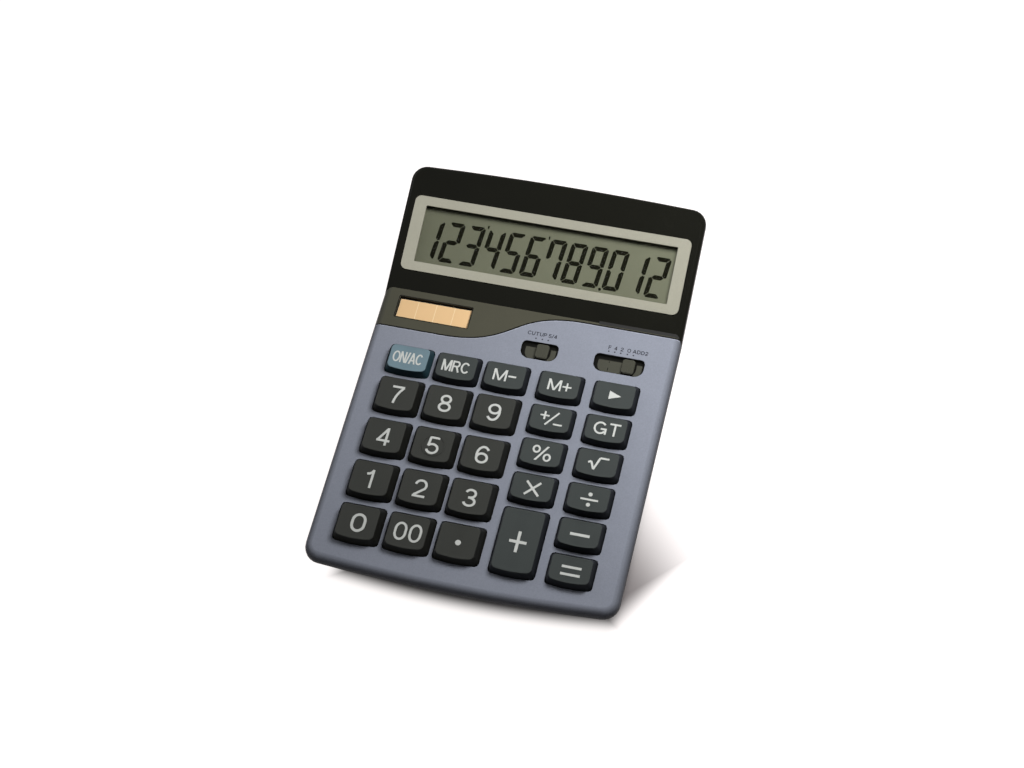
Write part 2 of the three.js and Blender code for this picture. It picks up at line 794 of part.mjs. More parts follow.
function bottomCase() {
  const deckFloor = deckLevel - wall - seamGap;
  const outer = frontTub(0, 0).add(rearTub(0, deckFloor)).intersect(above(footHeight));
  const inner = frontTub(wall, overrun).add(rearTub(wall, overrun)).intersect(above(baseTop));
  const bosses = screws.map((screw) =>
    disc(bossRadius, screw.x, screw.levelY, footHeight + baseThickness / 2, postFoot(screw) - seatGap, smallSides),
  );
  const rib = (x) => {
    const low = [x - ribThickness / 2, boardFront + wall, -tubDepth];
    const high = [x + ribThickness / 2, boardBack - wall, boardBottom - seatGap];
    return solid(block(low, high).applyMatrix4(faceToLevel)).intersect(above(footHeight + baseThickness / 2));
  };
  const ring = disc(ringRadius + ringThickness, batteryX, batteryY, footHeight + baseThickness / 2, cellHigh);
  const well = disc(ringRadius, batteryX, batteryY, -overrun, cellHigh + overrun);
  const notchLow = [batteryX + batteryRadius - ringThickness, batteryY - contactWidth / 2 - seatGap, -overrun];
  const notchHigh = [
    batteryX + ringRadius + ringThickness - contactThickness,
    batteryY + contactWidth / 2 + seatGap,
    cellHigh + overrun,
  ];
  const doorSeat = slab(
    rectangle(
      batteryX,
      batteryY + doorTravel / 2,
      doorWidth + 2 * seatGap,
      doorLength + doorTravel + 2 * seatGap,
      doorCorner,
    ),
    -overrun,
    cellLow,
  );
  const pockets = footPlaces.map(([, x, y]) =>
    disc(footRadius + seatGap, x, y, -overrun, footHeight + footPocket, bodySides),
  );
  const screwHoles = screws.flatMap(({ x, levelY }) => [
    disc(screwRadius + pinGap, x, levelY, -overrun, tubDepth, smallSides),
    disc(screwHeadRadius + seatGap, x, levelY, -overrun, screwSeat, smallSides),
  ]);
  const reach = caseWidth / 2 + overrun;
  const deckSide = deckWidth / 2 + seamGap;
  const coveFront = axisY - coveRadius - wall - seamGap;
  const deckRoom = block([-deckSide, coveFront, deckFloor], [deckSide, deckBack + overrun, overrun])
    .applyMatrix4(faceToLevel);
  const headRoom = block([-reach, axisY, deckLevel], [reach, deckBack + overrun, overrun])
    .applyMatrix4(faceToLevel);
  const barrelRoom = roller(coveRadius, axisY, axisZ, -reach, reach, 2 * bodySides).applyMatrix4(faceToLevel);
  const cuts = [well, block(notchLow, notchHigh), doorSeat, ...pockets, ...screwHoles, deckRoom, headRoom, barrelRoom];
  const ribs = [-ribSpacing / 2, ribSpacing / 2].map(rib);
  return union([outer.subtract(inner), ...[...bosses, ring].map(solid), ...ribs])
    .subtract(union(cuts.map(solid)));
}

place(root, "bottom_case", geometryOf(bottomCase()), darkPlastic);

const doorGeometry = slab(
  rectangle(0, 0, doorWidth, doorLength, doorCorner),
  0,
  doorThickness,
);
place(root, "battery_door", doorGeometry, darkPlastic, batteryX, batteryY, footHeight);
place(root, "battery_cell", disc(batteryRadius, 0, 0, 0, batteryHeight), steel, batteryX, batteryY, cellLow);
const topContact = block(
  [-ringRadius - ringThickness, -contactWidth / 2, 0],
  [ringRadius + ringThickness, contactWidth / 2, contactThickness],
);
place(root, "battery_contact_top", topContact, steel, batteryX, batteryY, cellHigh + seatGap);
const sideContact = block(
  [0, -contactWidth / 2, 0],
  [contactThickness, contactWidth / 2, batteryHeight - 2 * seatGap],
);
place(root, "battery_contact_side", sideContact, steel, batteryX + ringRadius, batteryY, cellLow + seatGap);

screws.forEach((screw, i) => {
  const tip = postFoot(screw) + postLength - wall;
  const shank = solid(disc(screwRadius, 0, 0, screwHeadHeight / 2, tip - footHeight, smallSides));
  const cap = solid(disc(screwHeadRadius, 0, 0, 0, screwHeadHeight, smallSides));
  place(root, `case_screw_${i + 1}`, geometryOf(shank.add(cap)), steel, screw.x, screw.levelY, footHeight);
});

for (const [name, x, y] of footPlaces) {
  const foot = disc(footRadius, 0, 0, 0, footHeight + footPocket - seatGap);
  place(root, `foot_${name}`, foot, rubber, x, y, 0);
}

// Display head: a slab whose lower edge is half a cylinder about the hinge, drawn in towards its back
const headPad = {
  width: caseWidth,
  front: -2 * headThickness,
  back: headLength,
  bowBack: headTopBow,
  frontRadius: windowCorner,
  backRadius: headCorner,
};
const headFront = headThickness / 2;
const partHeight = headFront - headRimDepth;

function headForm(inset) {
  const half = headFront - inset;
  const profile = [[headLength + overrun, -half], [headLength + overrun, half]];
  for (let i = 0; i <= 2 * barrelSteps; i++) {
    const angle = Math.PI / 2 + (Math.PI * i) / (2 * barrelSteps);
    profile.push([half * Math.cos(angle), half * Math.sin(angle)]);
  }
  const reach = caseWidth / 2 + overrun;
  const barrel = solid(drawnAcross(profile, -reach, reach));
  const ring = (z, step) => ({ points: padOutline(headPad, caseSteps, inset + step), z });
  const round = Math.max(headRound - inset, headRound * radiusShare);
  const rings = [
    ring(-half, headTaper + headRound),
    ring(-half + headRound * shoulderShare, headTaper),
    ring(partHeight, 0),
  ];
  for (let i = 0; i <= roundSteps; i++) {
    const angle = (Math.PI / 2) * (i / roundSteps);
    rings.push(ring(half - round * (1 - Math.sin(angle)), round * (1 - Math.cos(angle))));
  }
  return solid(loft(rings)).intersect(barrel);
}

function headSlice(low, high) {
  const reach = caseWidth / 2 + overrun;
  return solid(block([-reach, -2 * headThickness, low], [reach, headLength + overrun, high]));
}

const headShell = headForm(0).subtract(headForm(wall));
const frameSeat = headFront - frameThickness + frameProud - seatGap;

function displayFront() {
  const clear = 2 * seatGap;
  const recess = rectangle(0, windowMiddle, frameWidth + clear, frameHeight + clear, frameCorner);
  const window = rectangle(0, windowMiddle, windowWidth + clear, windowHeight + clear, windowCorner);
  return headShell
    .intersect(headSlice(partHeight, headThickness))
    .subtract(solid(slab(recess, frameSeat, headThickness)))
    .subtract(solid(slab(window, 0, headThickness)));
}

place(head, "display_front", geometryOf(displayFront()), blackPlastic);

function displayFrame() {
  const outer = rectangle(0, windowMiddle, frameWidth, frameHeight, frameCorner);
  const opening = rectangle(0, windowMiddle, windowWidth, windowHeight, windowCorner);
  const low = headFront + frameProud - frameThickness;
  return solid(slab(outer, low, headFront + frameProud)).subtract(solid(slab(opening, 0, headThickness)));
}

place(head, "display_bezel", geometryOf(displayFrame()), silverPaint);

// Behind the window: the clear lens, the LCD glass, a rubber contact strip and the display board
const lensTop = headFront - wall - seatGap;
const glassTop = lensTop - lensThickness - seatGap;
const stripTop = glassTop - glassThickness - seatGap;
const displayBoardTop = stripTop - stripThickness - seatGap;
const panelWidth = windowWidth + 2 * windowMargin;
const panelHeight = windowHeight + 2 * windowMargin;

function behindWindow(thickness) {
  const half = [panelWidth / 2, panelHeight / 2];
  return block([-half[0], windowMiddle - half[1], -thickness], [half[0], windowMiddle + half[1], 0]);
}

place(head, "display_lens", behindWindow(lensThickness), clearPlastic, 0, 0, lensTop);
place(head, "lcd_panel", behindWindow(glassThickness), lcdGlass, 0, 0, glassTop);
const stripY = windowMiddle - panelHeight / 2 + stripWidth;
const stripBlock = block(
  [-windowWidth / 2, -stripWidth / 2, -stripThickness],
  [windowWidth / 2, stripWidth / 2, 0],
);
place(head, "contact_strip", stripBlock, rubber, 0, stripY, stripTop);
place(head, "display_board", behindWindow(displayBoardThickness), boardGreen, 0, 0, displayBoardTop);

// Rear shell of the head: bosses that hold the pins beside each knuckle, and slots that the
// knuckles' necks and the flat cable pass through as the head turns
function displayRear() {
  const shell = headShell.intersect(headSlice(-headThickness, partHeight - seamGap));
  const bossRadiusInside = barrelRadius - wall / 2;
  const knuckleEdge = knuckleWidth / 2 + seatGap;
  const bosses = [-knuckleSpacing / 2, knuckleSpacing / 2].flatMap((x) =>
    [-1, 1].map((side) => {
      const inner = x + side * knuckleEdge;
      const outer = inner + side * bossWidth;
      return roller(bossRadiusInside, 0, 0, Math.min(inner, outer), Math.max(inner, outer));
    }),
  );
  const lowHalf = headSlice(-headThickness, partHeight - seamGap);
  const filled = union([shell, union(bosses.map(solid)).intersect(lowHalf)]);
  const reach = barrelRadius + overrun;
  const swing = Math.asin((neckWidth / 2 + seatGap) / (barrelRadius - wall));
  const first = -Math.PI / 2 + swing;
  const last = -(3 * Math.PI) / 4 - swing;
  const sector = [[0, 0]];
  for (let i = 0; i <= barrelSteps; i++) {
    const angle = first + ((last - first) * i) / barrelSteps;
    sector.push([reach * Math.cos(angle), reach * Math.sin(angle)]);
  }
  sector.reverse();
  const necks = [-knuckleSpacing / 2, knuckleSpacing / 2].map((x) =>
    solid(drawnAcross(sector, x - knuckleEdge, x + knuckleEdge)),
  );
  const cable = solid(drawnAcross(sector, -ribbonSlot / 2, ribbonSlot / 2));
  const span = knuckleSpacing / 2 + knuckleWidth;
  const bore = solid(roller(pinRadius + pinGap, 0, 0, -span, span, smallSides));
  return filled.subtract(union([...necks, cable, bore]));
}

place(head, "display_rear", geometryOf(displayRear()), blackPlastic);

const pinLength = knuckleWidth + 2 * bossWidth;
const pinGeometry = roller(pinRadius, 0, 0, -pinLength / 2, pinLength / 2, smallSides);
place(head, "hinge_pin_left", pinGeometry, steel, -knuckleSpacing / 2, 0, 0);
place(head, "hinge_pin_right", pinGeometry, steel, knuckleSpacing / 2, 0, 0);

// Flat cable, as a strip of even thickness along a route in face coordinates. It leaves the main
// board's upper face, dips under the cove, comes up through its slot and ends under the display board.
function ribbon() {
  const headPoint = (y, z) => [
    axisY + y * Math.cos(headRest) - z * Math.sin(headRest),
    axisZ + y * Math.sin(headRest) + z * Math.cos(headRest),
  ];
  const start = boardTop + seatGap;
  const below = axisZ - coveRadius - wall;
  const inside = displayBoardTop - displayBoardThickness - seatGap;
  const boardEdge = windowMiddle - panelHeight / 2;
  const route = [
    [boardBack - wall, start],
    [boardBack + wall, start],
    [axisY - coveRadius - 2 * wall, below + wall],
    [axisY - coveRadius, below - wall / 2],
    [axisY - wall, below + wall / 2],
    [axisY - wall / 2, axisZ - knuckleRadius],
    headPoint(wall, inside),
    headPoint(boardEdge - wall, inside),
    headPoint(boardEdge + wall, inside),
  ];
  const curve = new THREE.CatmullRomCurve3(route.map(([y, z]) => new THREE.Vector3(y, z, 0)));
  const middle = curve.getPoints(2 * bodySides);
  const sides = middle.map((point, i) => {
    const before = middle[Math.max(i - 1, 0)];
    const after = middle[Math.min(i + 1, middle.length - 1)];
    const run = new THREE.Vector2(after.x - before.x, after.y - before.y).normalize();
    const offset = ribbonThickness / 2;
    return {
      upper: [point.x - run.y * offset, point.y + run.x * offset],
      lower: [point.x + run.y * offset, point.y - run.x * offset],
    };
  });
  const profile = [...sides.map((s) => s.lower), ...sides.map((s) => s.upper).reverse()];
  return drawnAcross(profile, -ribbonWidth / 2, ribbonWidth / 2);
}

place(face, "display_ribbon", geometryOf(solid(ribbon())), amberFilm);

// The origin goes to the middle of the part's box, at desk level
root.updateMatrixWorld(true);
const box = new THREE.Box3().setFromObject(root, true);
const middle = box.getCenter(new THREE.Vector3());
root.position.set(-middle.x, -middle.y, -box.min.z);

export default root;
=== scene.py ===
"""A desktop calculator with a display head that tilts, lit as for a catalogue picture.

Shapes are worked out in millimetres and go into their meshes in metres. The face and the head each
have a frame of their own: x across, y up the slope and z out of the surface.
"""
import json
import math

import bmesh
import bpy
import numpy as np
from mathutils import Matrix, Vector


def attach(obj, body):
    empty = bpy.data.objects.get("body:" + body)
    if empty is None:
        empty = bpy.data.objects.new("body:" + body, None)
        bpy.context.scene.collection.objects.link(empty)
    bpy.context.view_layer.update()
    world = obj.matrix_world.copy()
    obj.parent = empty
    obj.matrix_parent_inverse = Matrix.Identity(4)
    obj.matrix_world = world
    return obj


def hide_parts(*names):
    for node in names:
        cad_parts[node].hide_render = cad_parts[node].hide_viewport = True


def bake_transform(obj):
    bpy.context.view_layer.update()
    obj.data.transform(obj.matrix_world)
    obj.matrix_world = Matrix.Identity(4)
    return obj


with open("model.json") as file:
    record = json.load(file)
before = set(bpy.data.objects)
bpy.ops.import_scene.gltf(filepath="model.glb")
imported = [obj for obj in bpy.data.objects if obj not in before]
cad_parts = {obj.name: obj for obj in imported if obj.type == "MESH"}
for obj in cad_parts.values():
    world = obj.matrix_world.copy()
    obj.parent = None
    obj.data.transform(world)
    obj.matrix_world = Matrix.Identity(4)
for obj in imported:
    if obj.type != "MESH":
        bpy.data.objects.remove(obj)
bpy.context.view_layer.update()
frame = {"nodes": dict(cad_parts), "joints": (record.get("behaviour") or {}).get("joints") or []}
scene = bpy.context.scene
nodes = frame["nodes"]
joints = {joint["name"]: joint for joint in frame["joints"]}
MM = 0.001

# Where the camera stands and what it looks at, in metres, and its roll in degrees
CAMERA_AT = (0.16012, -0.51905, 0.76973)
CAMERA_AIM = (-0.00147, 0.00691, 0.02)
CAMERA_ROLL = -3.65
CAMERA_LENS = 73.83
CAMERA_NEAR = 0.01
SENSOR_WIDTH = 36

# The hinge axis in the face's frame in millimetres, and the head's tilt at rest in degrees
AXIS_UP = 142.0987
AXIS_OUT = -5.7
HEAD_REST = 16

# Light: the world's fill, a softbox on the left, and one close above the right back that makes the
# far right of the face the brightest. A lamp's name, place and width in metres, power in watts, and
# whether it shows in reflections.
FILL = 0.07
LAMPS = (
    ("softbox_left", (-0.5, 0.2, 0.5), 0.25, 0.5, True),
    ("softbox_back", (0.105, 0.06, 0.27), 0.12, 0.95, False),
)
LAMP_AIM = (0, 0, 0.02)

# The floor, in metres, and the painted shadow in its glow. Each pair is where the glow starts to
# rise and where it is full, in millimetres: past the front edge, towards the back, past the right
# edge and towards the left. A lean slants a line, and the curve bows the front one, per metre.
FLOOR_HALF = 2.5
FLOOR_COLOUR = "#8e8888"
FLOOR_TINT = (1.0, 0.965, 0.955, 1)
FLOOR_GLOW = 1.04
FRONT_RISE = (-91.5, -100.5)
FRONT_CURVE = 1.1
BACK_LEAN = 1.15
BACK_RISE = (2, 76)
EDGE_LEAN = -0.55
EDGE_RISE = (109.5, 123.5)
LEFT_RISE = (-48, -60)

# Keys, in millimetres: heights over the face, how far the walls lean in at the left and the right,
# the front and the back, the corners' radii, and the shoulder between the walls and the top
KEY_RISE = 4
KEY_FLANGE = 0.75
KEY_FLANGE_LOW = -3.5
KEY_FLANGE_TOP = -2.3
KEY_SIDES = (1.45, 1.45)
NUMBER_SIDES = (1.35, 2.2)
KEY_FRONT = 0.9
KEY_BACK = 2.1
KEY_BOW = 0.9
KEY_CORNER = 2.3
KEY_BACK_CORNER = 1.8
KEY_SHOULDER = 0.4
KEY_SHOULDER_SHARE = 0.84
KEY_DISH = 0.12
SHOULDER_STEPS = 8
# Rings over a top, as shares of the way from its middle to its edge
TOP_SHARES = (0.94, 0.8, 0.6, 0.4, 0.2, 0.02)
DIGIT = {
    name: str(i) for i, name in enumerate((
        "zero", "one", "two", "three", "four", "five", "six", "seven", "eight", "nine"))
}
NUMBER_KEYS = (*DIGIT, "double_zero", "point")
# The raised ring round the figure on the middle key, which fingers find
RING_RADIUS = 4.9
RING_WIDTH = 0.6
RING_RISE = 0.22

# Ink, in millimetres: how far it stands out, the step between strokes that cross, and how deep its
# foot is sunk. Arcs are cut every ARC_STEP degrees and straight runs every RUN_STEP millimetres. A
# level cut reaches no further than on a stroke that climbs by STEEP_LEAST.
INK_RISE = 0.025
INK_STEP = 0.004
INK_ROOT = 0.06
ARC_STEP = 10
RUN_STEP = 0.9
STEEP_LEAST = 0.3


# The frames of the face and the head
slope = math.asin(joints["press_zero"]["axis"][1])
hinge = np.array(joints["display_tilt"]["pos_m"]) / MM


def turned(angle):
    """Rotation about X, as a matrix for points in rows."""
    c, s = math.cos(angle), math.sin(angle)
    return np.array([[1, 0, 0], [0, c, s], [0, -s, c]])


FACE_TURN = turned(slope)
HEAD_TURN = turned(slope + math.radians(HEAD_REST))
FACE_FRONT = hinge - np.array([0, AXIS_UP, AXIS_OUT]) @ FACE_TURN
FACE_OUT = FACE_TURN[2]


def on_face(points):
    """Scene coordinates of points in the face's frame."""
    return (points @ FACE_TURN + FACE_FRONT) * MM


def on_head(points):
    """Scene coordinates of points in the head's frame."""
    return (points @ HEAD_TURN + hinge) * MM


def node_points(name, turn, origin):
    """Points of a CAD node in the face's or the head's frame, in millimetres."""
    mesh = nodes[name].data
    points = np.empty(len(mesh.vertices) * 3, np.float32)
    mesh.vertices.foreach_get("co", points)
    return (points.reshape(-1, 3) / MM - origin) @ turn.T


def extent(name, turn=FACE_TURN, origin=FACE_FRONT):
    """Lowest and highest coordinates of a CAD node in a frame, the face's unless said."""
    points = node_points(name, turn, origin)
    return points.min(0), points.max(0)


# Meshes: edges from CREASE degrees stay sharp, and a corner's arc has CORNER_STEPS
CREASE = 35
CORNER_STEPS = 6

# Finishes. Sizes are in millimetres: the cloud and the flakes of a moulded surface, and the ripple
# of a clear one. The noise lies mostly between CLOUD_LOW and CLOUD_HIGH.
CLOUD_SIZE = 14
CLOUD_LOW = 0.3
CLOUD_HIGH = 0.7
FLAKE_SIZE = 0.45
RIPPLE_SIZE = 9
RIPPLE_DEPTH = 0.01


def linear(colour):
    """Linear RGBA of an sRGB colour written "#rrggbb"."""
    parts = np.array([int(colour[i:i + 2], 16) for i in (1, 3, 5)]) / 255
    curve = np.where(parts <= 0.04045, parts / 12.92, ((parts + 0.055) / 1.055) ** 2.4)
    return (*curve.tolist(), 1.0)


def add(tree, kind, inputs=None, **settings):
    """Adds a shader node. Each input gets a value, or the output that feeds it."""
    made = tree.nodes.new("ShaderNode" + kind)
    for name, value in settings.items():
        setattr(made, name, value)
    for name, value in (inputs or {}).items():
        if isinstance(value, bpy.types.NodeSocket):
            tree.links.new(value, made.inputs[name])
        else:
            made.inputs[name].default_value = value
    return made


def calc(tree, operation, *values):
    """The output of a math node, from numbers and outputs."""
    return add(tree, "Math", dict(enumerate(values)), operation=operation).outputs["Value"]


def bare_material(name):
    """A new material and its empty node tree."""
    material = bpy.data.materials.new(name)
    material.use_nodes = True
    material.node_tree.nodes.clear()
    return material, material.node_tree


def per_mm(size):
    """Scale of a pattern whose features are this many millimetres apart."""
    return 1 / (size * MM)


def below(tree, place, top, bottom, power):
    """Share of the way down between two heights over the face, in millimetres, to a power."""
    level = float(FACE_FRONT @ FACE_OUT)
    height = add(tree, "VectorMath", {0: place, 1: FACE_OUT.tolist()},
                 operation="DOT_PRODUCT").outputs["Value"]
    share = ramp(tree, height, level + top, level + bottom, "LINEAR")
    return calc(tree, "POWER", share, power)


def ramp(tree, value, start, end, kind="SMOOTHSTEP"):
    """0 to 1 between two places, in millimetres."""
    return add(tree, "MapRange", {
        "Value": value, "From Min": start * MM, "From Max": end * MM},
        interpolation_type=kind).outputs["Result"]


def moulded(name, colour, roughness, grain, depth, mottle, spread=0.05, flakes=0, lower=None,
            metallic=0.0, gloss=0.12):
    """A moulded or painted surface.

    A fine noise of the grain's size gives the bump, a cloud of CLOUD_SIZE shades the colour and
    the roughness a little, and flakes lighten or darken single grains, as in a metallic paint.
    Where lower is given, the colour goes over to another one down the walls, as painted shade: that
    colour, the heights over the face where it starts and ends, and the power of its curve. Gloss is
    the level of its reflections.
    """
    material, tree = bare_material(name)
    place = add(tree, "TexCoord").outputs["Object"]
    tone = linear(colour)
    if lower:
        other, top, bottom, power = lower
        tone = add(tree, "Mix", {
            0: below(tree, place, top, bottom, power), 6: tone, 7: linear(other)},
            data_type="RGBA").outputs[2]
    cloud = add(tree, "TexNoise", {
        "Vector": place, "Scale": per_mm(CLOUD_SIZE), "Detail": 4.0})
    shade = add(tree, "MapRange", {
        "Value": cloud.outputs["Fac"], "From Min": CLOUD_LOW, "From Max": CLOUD_HIGH,
        "To Min": 1 - mottle, "To Max": 1 + mottle}).outputs["Result"]
    if flakes:
        cells = add(tree, "TexVoronoi", {"Vector": place, "Scale": per_mm(FLAKE_SIZE)})
        sparkle = add(tree, "MapRange", {
            "Value": cells.outputs["Color"], "To Min": 1 - flakes, "To Max": 1 + flakes})
        shade = calc(tree, "MULTIPLY", shade, sparkle.outputs["Result"])
    tint = add(tree, "HueSaturation", {"Color": tone, "Value": shade})
    polish = add(tree, "MapRange", {
        "Value": cloud.outputs["Fac"], "From Min": CLOUD_LOW, "From Max": CLOUD_HIGH,
        "To Min": roughness - spread, "To Max": roughness + spread})
    fine = add(tree, "TexNoise", {"Vector": place, "Scale": per_mm(grain), "Detail": 2.0})
    bump = add(tree, "Bump", {
        "Height": fine.outputs["Fac"], "Strength": 1.0, "Distance": depth * MM})
    shader = add(tree, "BsdfPrincipled", {
        "Base Color": tint.outputs["Color"], "Roughness": polish.outputs["Result"],
        "Normal": bump.outputs["Normal"], "Metallic": metallic, "Specular IOR Level": gloss})
    add(tree, "OutputMaterial", {"Surface": shader.outputs["BSDF"]})
    return material


# Painted shade, as two heights over the face and a power: where a rounded edge goes dark, where a
# keycap's top gives way to its dark walls, and where a knob darkens below the face
ROUND_EDGE_SHADE = (0, -4.2, 0.52)
CAP_WALL_SHADE = (3.9, 3.5, 1)
KNOB_SHADE = (0.1, -0.15, 1)

# Satin silver-blue paint with a fine sparkle. Its colour goes nearly black down the round edges,
# which is painted shade.
blue_paint = moulded("blue_silver_paint_with_painted_edge_shade", "#848893", 0.5, 0.4, 0.004, 0.02,
                     flakes=0.06, lower=("#0c0c0e", *ROUND_EDGE_SHADE), metallic=0.05, gloss=0.1)
# Polished black ABS: a deep black with faint reflections
black_gloss = moulded("polished_black_moulded_abs", "#11110c", 0.25, 0.9, 0.0008, 0.06, 0.03,
                      gloss=0.07)
# Olive grey paint with a low gloss, darker over its round edges as painted shade
olive_trim = moulded("satin_olive_grey_painted_abs", "#48473c", 0.4, 0.5, 0.002, 0.04,
                     lower=("#151510", *ROUND_EDGE_SHADE))
# Spark-eroded tool finish: fine even grain, dull
dark_shell = moulded("grained_dark_grey_moulded_abs", "#1f1f1d", 0.62, 0.5, 0.02, 0.06)
# Keycaps: a fine-grained top over walls whose colour goes nearly black, as painted shade
number_cap = moulded("fine_grained_moulded_abs_keycap_warm", "#373835", 0.5, 0.3, 0.004, 0.04,
                     lower=("#161613", *CAP_WALL_SHADE))
function_cap = moulded("fine_grained_moulded_abs_keycap_cool", "#3d4140", 0.5, 0.3, 0.004, 0.04,
                       lower=("#15171a", *CAP_WALL_SHADE))
teal_cap = moulded("fine_grained_moulded_abs_keycap_teal", "#6c818a", 0.5, 0.3, 0.004, 0.03,
                   lower=("#1f343b", *CAP_WALL_SHADE))
# Pad-printed ink: flat, slightly raised, a warm white on the keys and a dark grey on the face
legend_ink = moulded("pad_printed_warm_white_ink", "#c1c3bf", 0.6, 0.2, 0.002, 0.02)
label_ink = moulded("pad_printed_dark_grey_ink", "#303139", 0.6, 0.2, 0.002, 0.03)
# Satin silver paint on the display's frame
silver_frame = moulded("satin_silver_paint_on_moulded_abs", "#a4a293", 0.4, 0.4, 0.003, 0.02,
                       flakes=0.04, metallic=0.7, gloss=0.5)
# The LCD glass under its reflecting polariser: grey green, dull, faintly mottled. Its segments are
# almost black, with hardly a reflection.
lcd_glass = moulded("reflective_twisted_nematic_glass", "#6b6d5b", 0.4, 0.6, 0.001, 0.03)
segment_film = moulded("switched_liquid_crystal_segment", "#13130b", 0.6, 0.6, 0.001, 0.02,
                      gloss=0.03)
# Amorphous silicon behind glass: peach films with pale scribed lines between them, in a black
# border that is also painted shade along the opening's edges
cell_film = moulded("amorphous_silicon_film", "#deba8b", 0.35, 0.8, 0.001, 0.025)
cell_line = moulded("scribed_line_between_films", "#ebd2a8", 0.35, 0.8, 0.001, 0.03)
cell_border_and_shade = moulded("black_cell_border_and_painted_shade", "#11100e", 0.35, 0.8, 0.001, 0.03)
# Nearly black and dull: the black lining of the switches' slots and the divider, and painted shade
# in the panel's seam and in the plate under each knob
slot_black_and_shade = moulded("black_slot_lining_and_painted_shade", "#0f0f0c", 0.6, 0.5, 0.006, 0.05)
# Painted shade in the gap at the panel's end beside its seam, and a painted highlight along the
# seam's edge
panel_gap_shade = moulded("painted_shade_in_panel_gap", "#2c2c2b", 0.5, 0.5, 0.002, 0.03)
seam_highlight = moulded("painted_highlight_on_seam_edge", "#a9adbb", 0.4, 0.4, 0.003, 0.02)
# The strip in each slot, and the knobs, whose colour goes nearly black just below the face: painted
# shade in the slot
slot_strip = moulded("olive_grey_moulded_switch_strip", "#43433b", 0.5, 0.5, 0.006, 0.05)
knob_plastic = moulded("olive_grey_moulded_switch_knob", "#3f3f37", 0.5, 0.5, 0.006, 0.05,
                       lower=("#0e0e0c", *KNOB_SHADE))
# Rubber: matt and nearly black on the feet, and a pale, milky sheet under the keys
foot_rubber = moulded("matt_moulded_rubber", "#2a2a29", 0.85, 0.7, 0.02, 0.08, gloss=0.5)
white_silicone = moulded("moulded_silicone_sheet", "#b9b7ae", 0.7, 0.6, 0.01, 0.04, gloss=0.5)
# Inside: mottled green over the boards' weave, a shiny black drop over the chip, bright plated
# metal and an amber film
board_mask = moulded("green_solder_mask_on_glass_fibre", "#2c5a38", 0.45, 0.8, 0.006, 0.12,
                     gloss=0.5)
chip_resin = moulded("glob_top_epoxy_resin", "#141413", 0.3, 1.2, 0.01, 0.08, gloss=0.5)
plated_steel = moulded("zinc_plated_stamped_steel", "#b9b9b4", 0.3, 0.8, 0.003, 0.05,
                       metallic=1.0, gloss=0.5)
cable_film = moulded("polyimide_flat_cable_film", "#b5722b", 0.35, 0.6, 0.002, 0.05, gloss=0.5)


def clear_window():
    """Clear moulded acrylic: it passes light straight through and shines by its Fresnel share."""
    material, tree = bare_material("clear_moulded_acrylic_window")
    place = add(tree, "TexCoord").outputs["Object"]
    ripple = add(tree, "TexNoise", {
        "Vector": place, "Scale": per_mm(RIPPLE_SIZE), "Detail": 1.0})
    bump = add(tree, "Bump", {
        "Height": ripple.outputs["Fac"], "Strength": 0.4, "Distance": RIPPLE_DEPTH * MM})
    shine = add(tree, "BsdfPrincipled", {
        "Base Color": linear("#1c1e1c"), "Roughness": 0.05, "IOR": 1.49, "Alpha": 0.03,
        "Normal": bump.outputs["Normal"], "Specular IOR Level": 0.5})
    add(tree, "OutputMaterial", {"Surface": shine.outputs["BSDF"]})
    return material


window = clear_window()


def linked(name, data):
    """A new object in the scene."""
    made = bpy.data.objects.new(name, data)
    scene.collection.objects.link(made)
    return made


def shaded(name, mesh, material, crease):
    """A new object whose edges are sharp from crease degrees, and smooth below."""
    mesh.shade_smooth()
    mesh.set_sharp_from_angle(angle=math.radians(crease))
    mesh.materials.clear()
    mesh.materials.append(material)
    return linked(name, mesh)


def finish_mesh(name, points, faces, material, body, slot):
    """Makes a piece from points in metres and faces that point outwards."""
    mesh = bpy.data.meshes.new(name)
    mesh.from_pydata(points.tolist(), [], faces)
    mesh.validate()
    piece = shaded(name, mesh, material, CREASE)
    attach(piece, body)
    return piece


def face_piece(name, solid, material, body, slot, middle=(0, 0, 0)):
    """Makes a piece from a solid in the face's frame, moved to its middle."""
    points, faces = solid
    return finish_mesh(name, on_face(points + middle), faces, material, body, slot)


def side_faces(rows, count):
    """Quads between neighbouring rings of a grid, for rings that run anticlockwise and rise."""
    row = np.arange(rows - 1)[:, None] * count
    here = row + np.arange(count)
    there = row + (np.arange(count) + 1) % count
    return np.stack([here, there, there + count, here + count], -1).reshape(-1, 4).tolist()


def stack(rings):
    """A solid through rings of points, lowest first, with flat ends."""
    rings = np.asarray(rings)
    rows, count = rings.shape[:2]
    faces = side_faces(rows, count)
    faces.append(list(range(count))[::-1])
    faces.append([(rows - 1) * count + i for i in range(count)])
    return rings.reshape(-1, 3), faces


def joined(parts):
    """Several solids as one list of points and one of faces."""
    points, faces, start = [], [], 0
    for part_points, part_faces in parts:
        points.append(part_points)
        faces.extend([[start + i for i in face] for face in part_faces])
        start += len(part_points)
    return np.concatenate(points), faces


def end_arc(half, end, bow, radius, bow_steps):
    """One end of a pad: a corner arc, a shallow bow tangent to it, and the corner mirrored.

    The bow's circle rises by bow over a chord of twice half, so its radius is (half squared + bow
    squared) / (2 bow). The corner's circle touches it from inside.
    """
    big = (half ** 2 + bow ** 2) / (2 * bow) if bow else 0
    lean = math.asin((half - radius) / (big - radius)) if bow else 0
    drop = big - math.cos(lean) * (big - radius) if bow else radius
    a = np.linspace(0, math.pi / 2 - lean, CORNER_STEPS + 1)
    right = arc(half - radius, end - drop, radius, a)
    b = np.linspace(-1, 1, bow_steps + 1)[1:-1]
    if bow:
        middle = np.stack([-big * np.sin(lean * b), end - big + big * np.cos(lean * b)], -1)
    else:
        middle = np.stack([-right[-1, 0] * b, np.full(len(b), end)], -1)
    return np.concatenate([right, middle, right[::-1] * (-1, 1)])


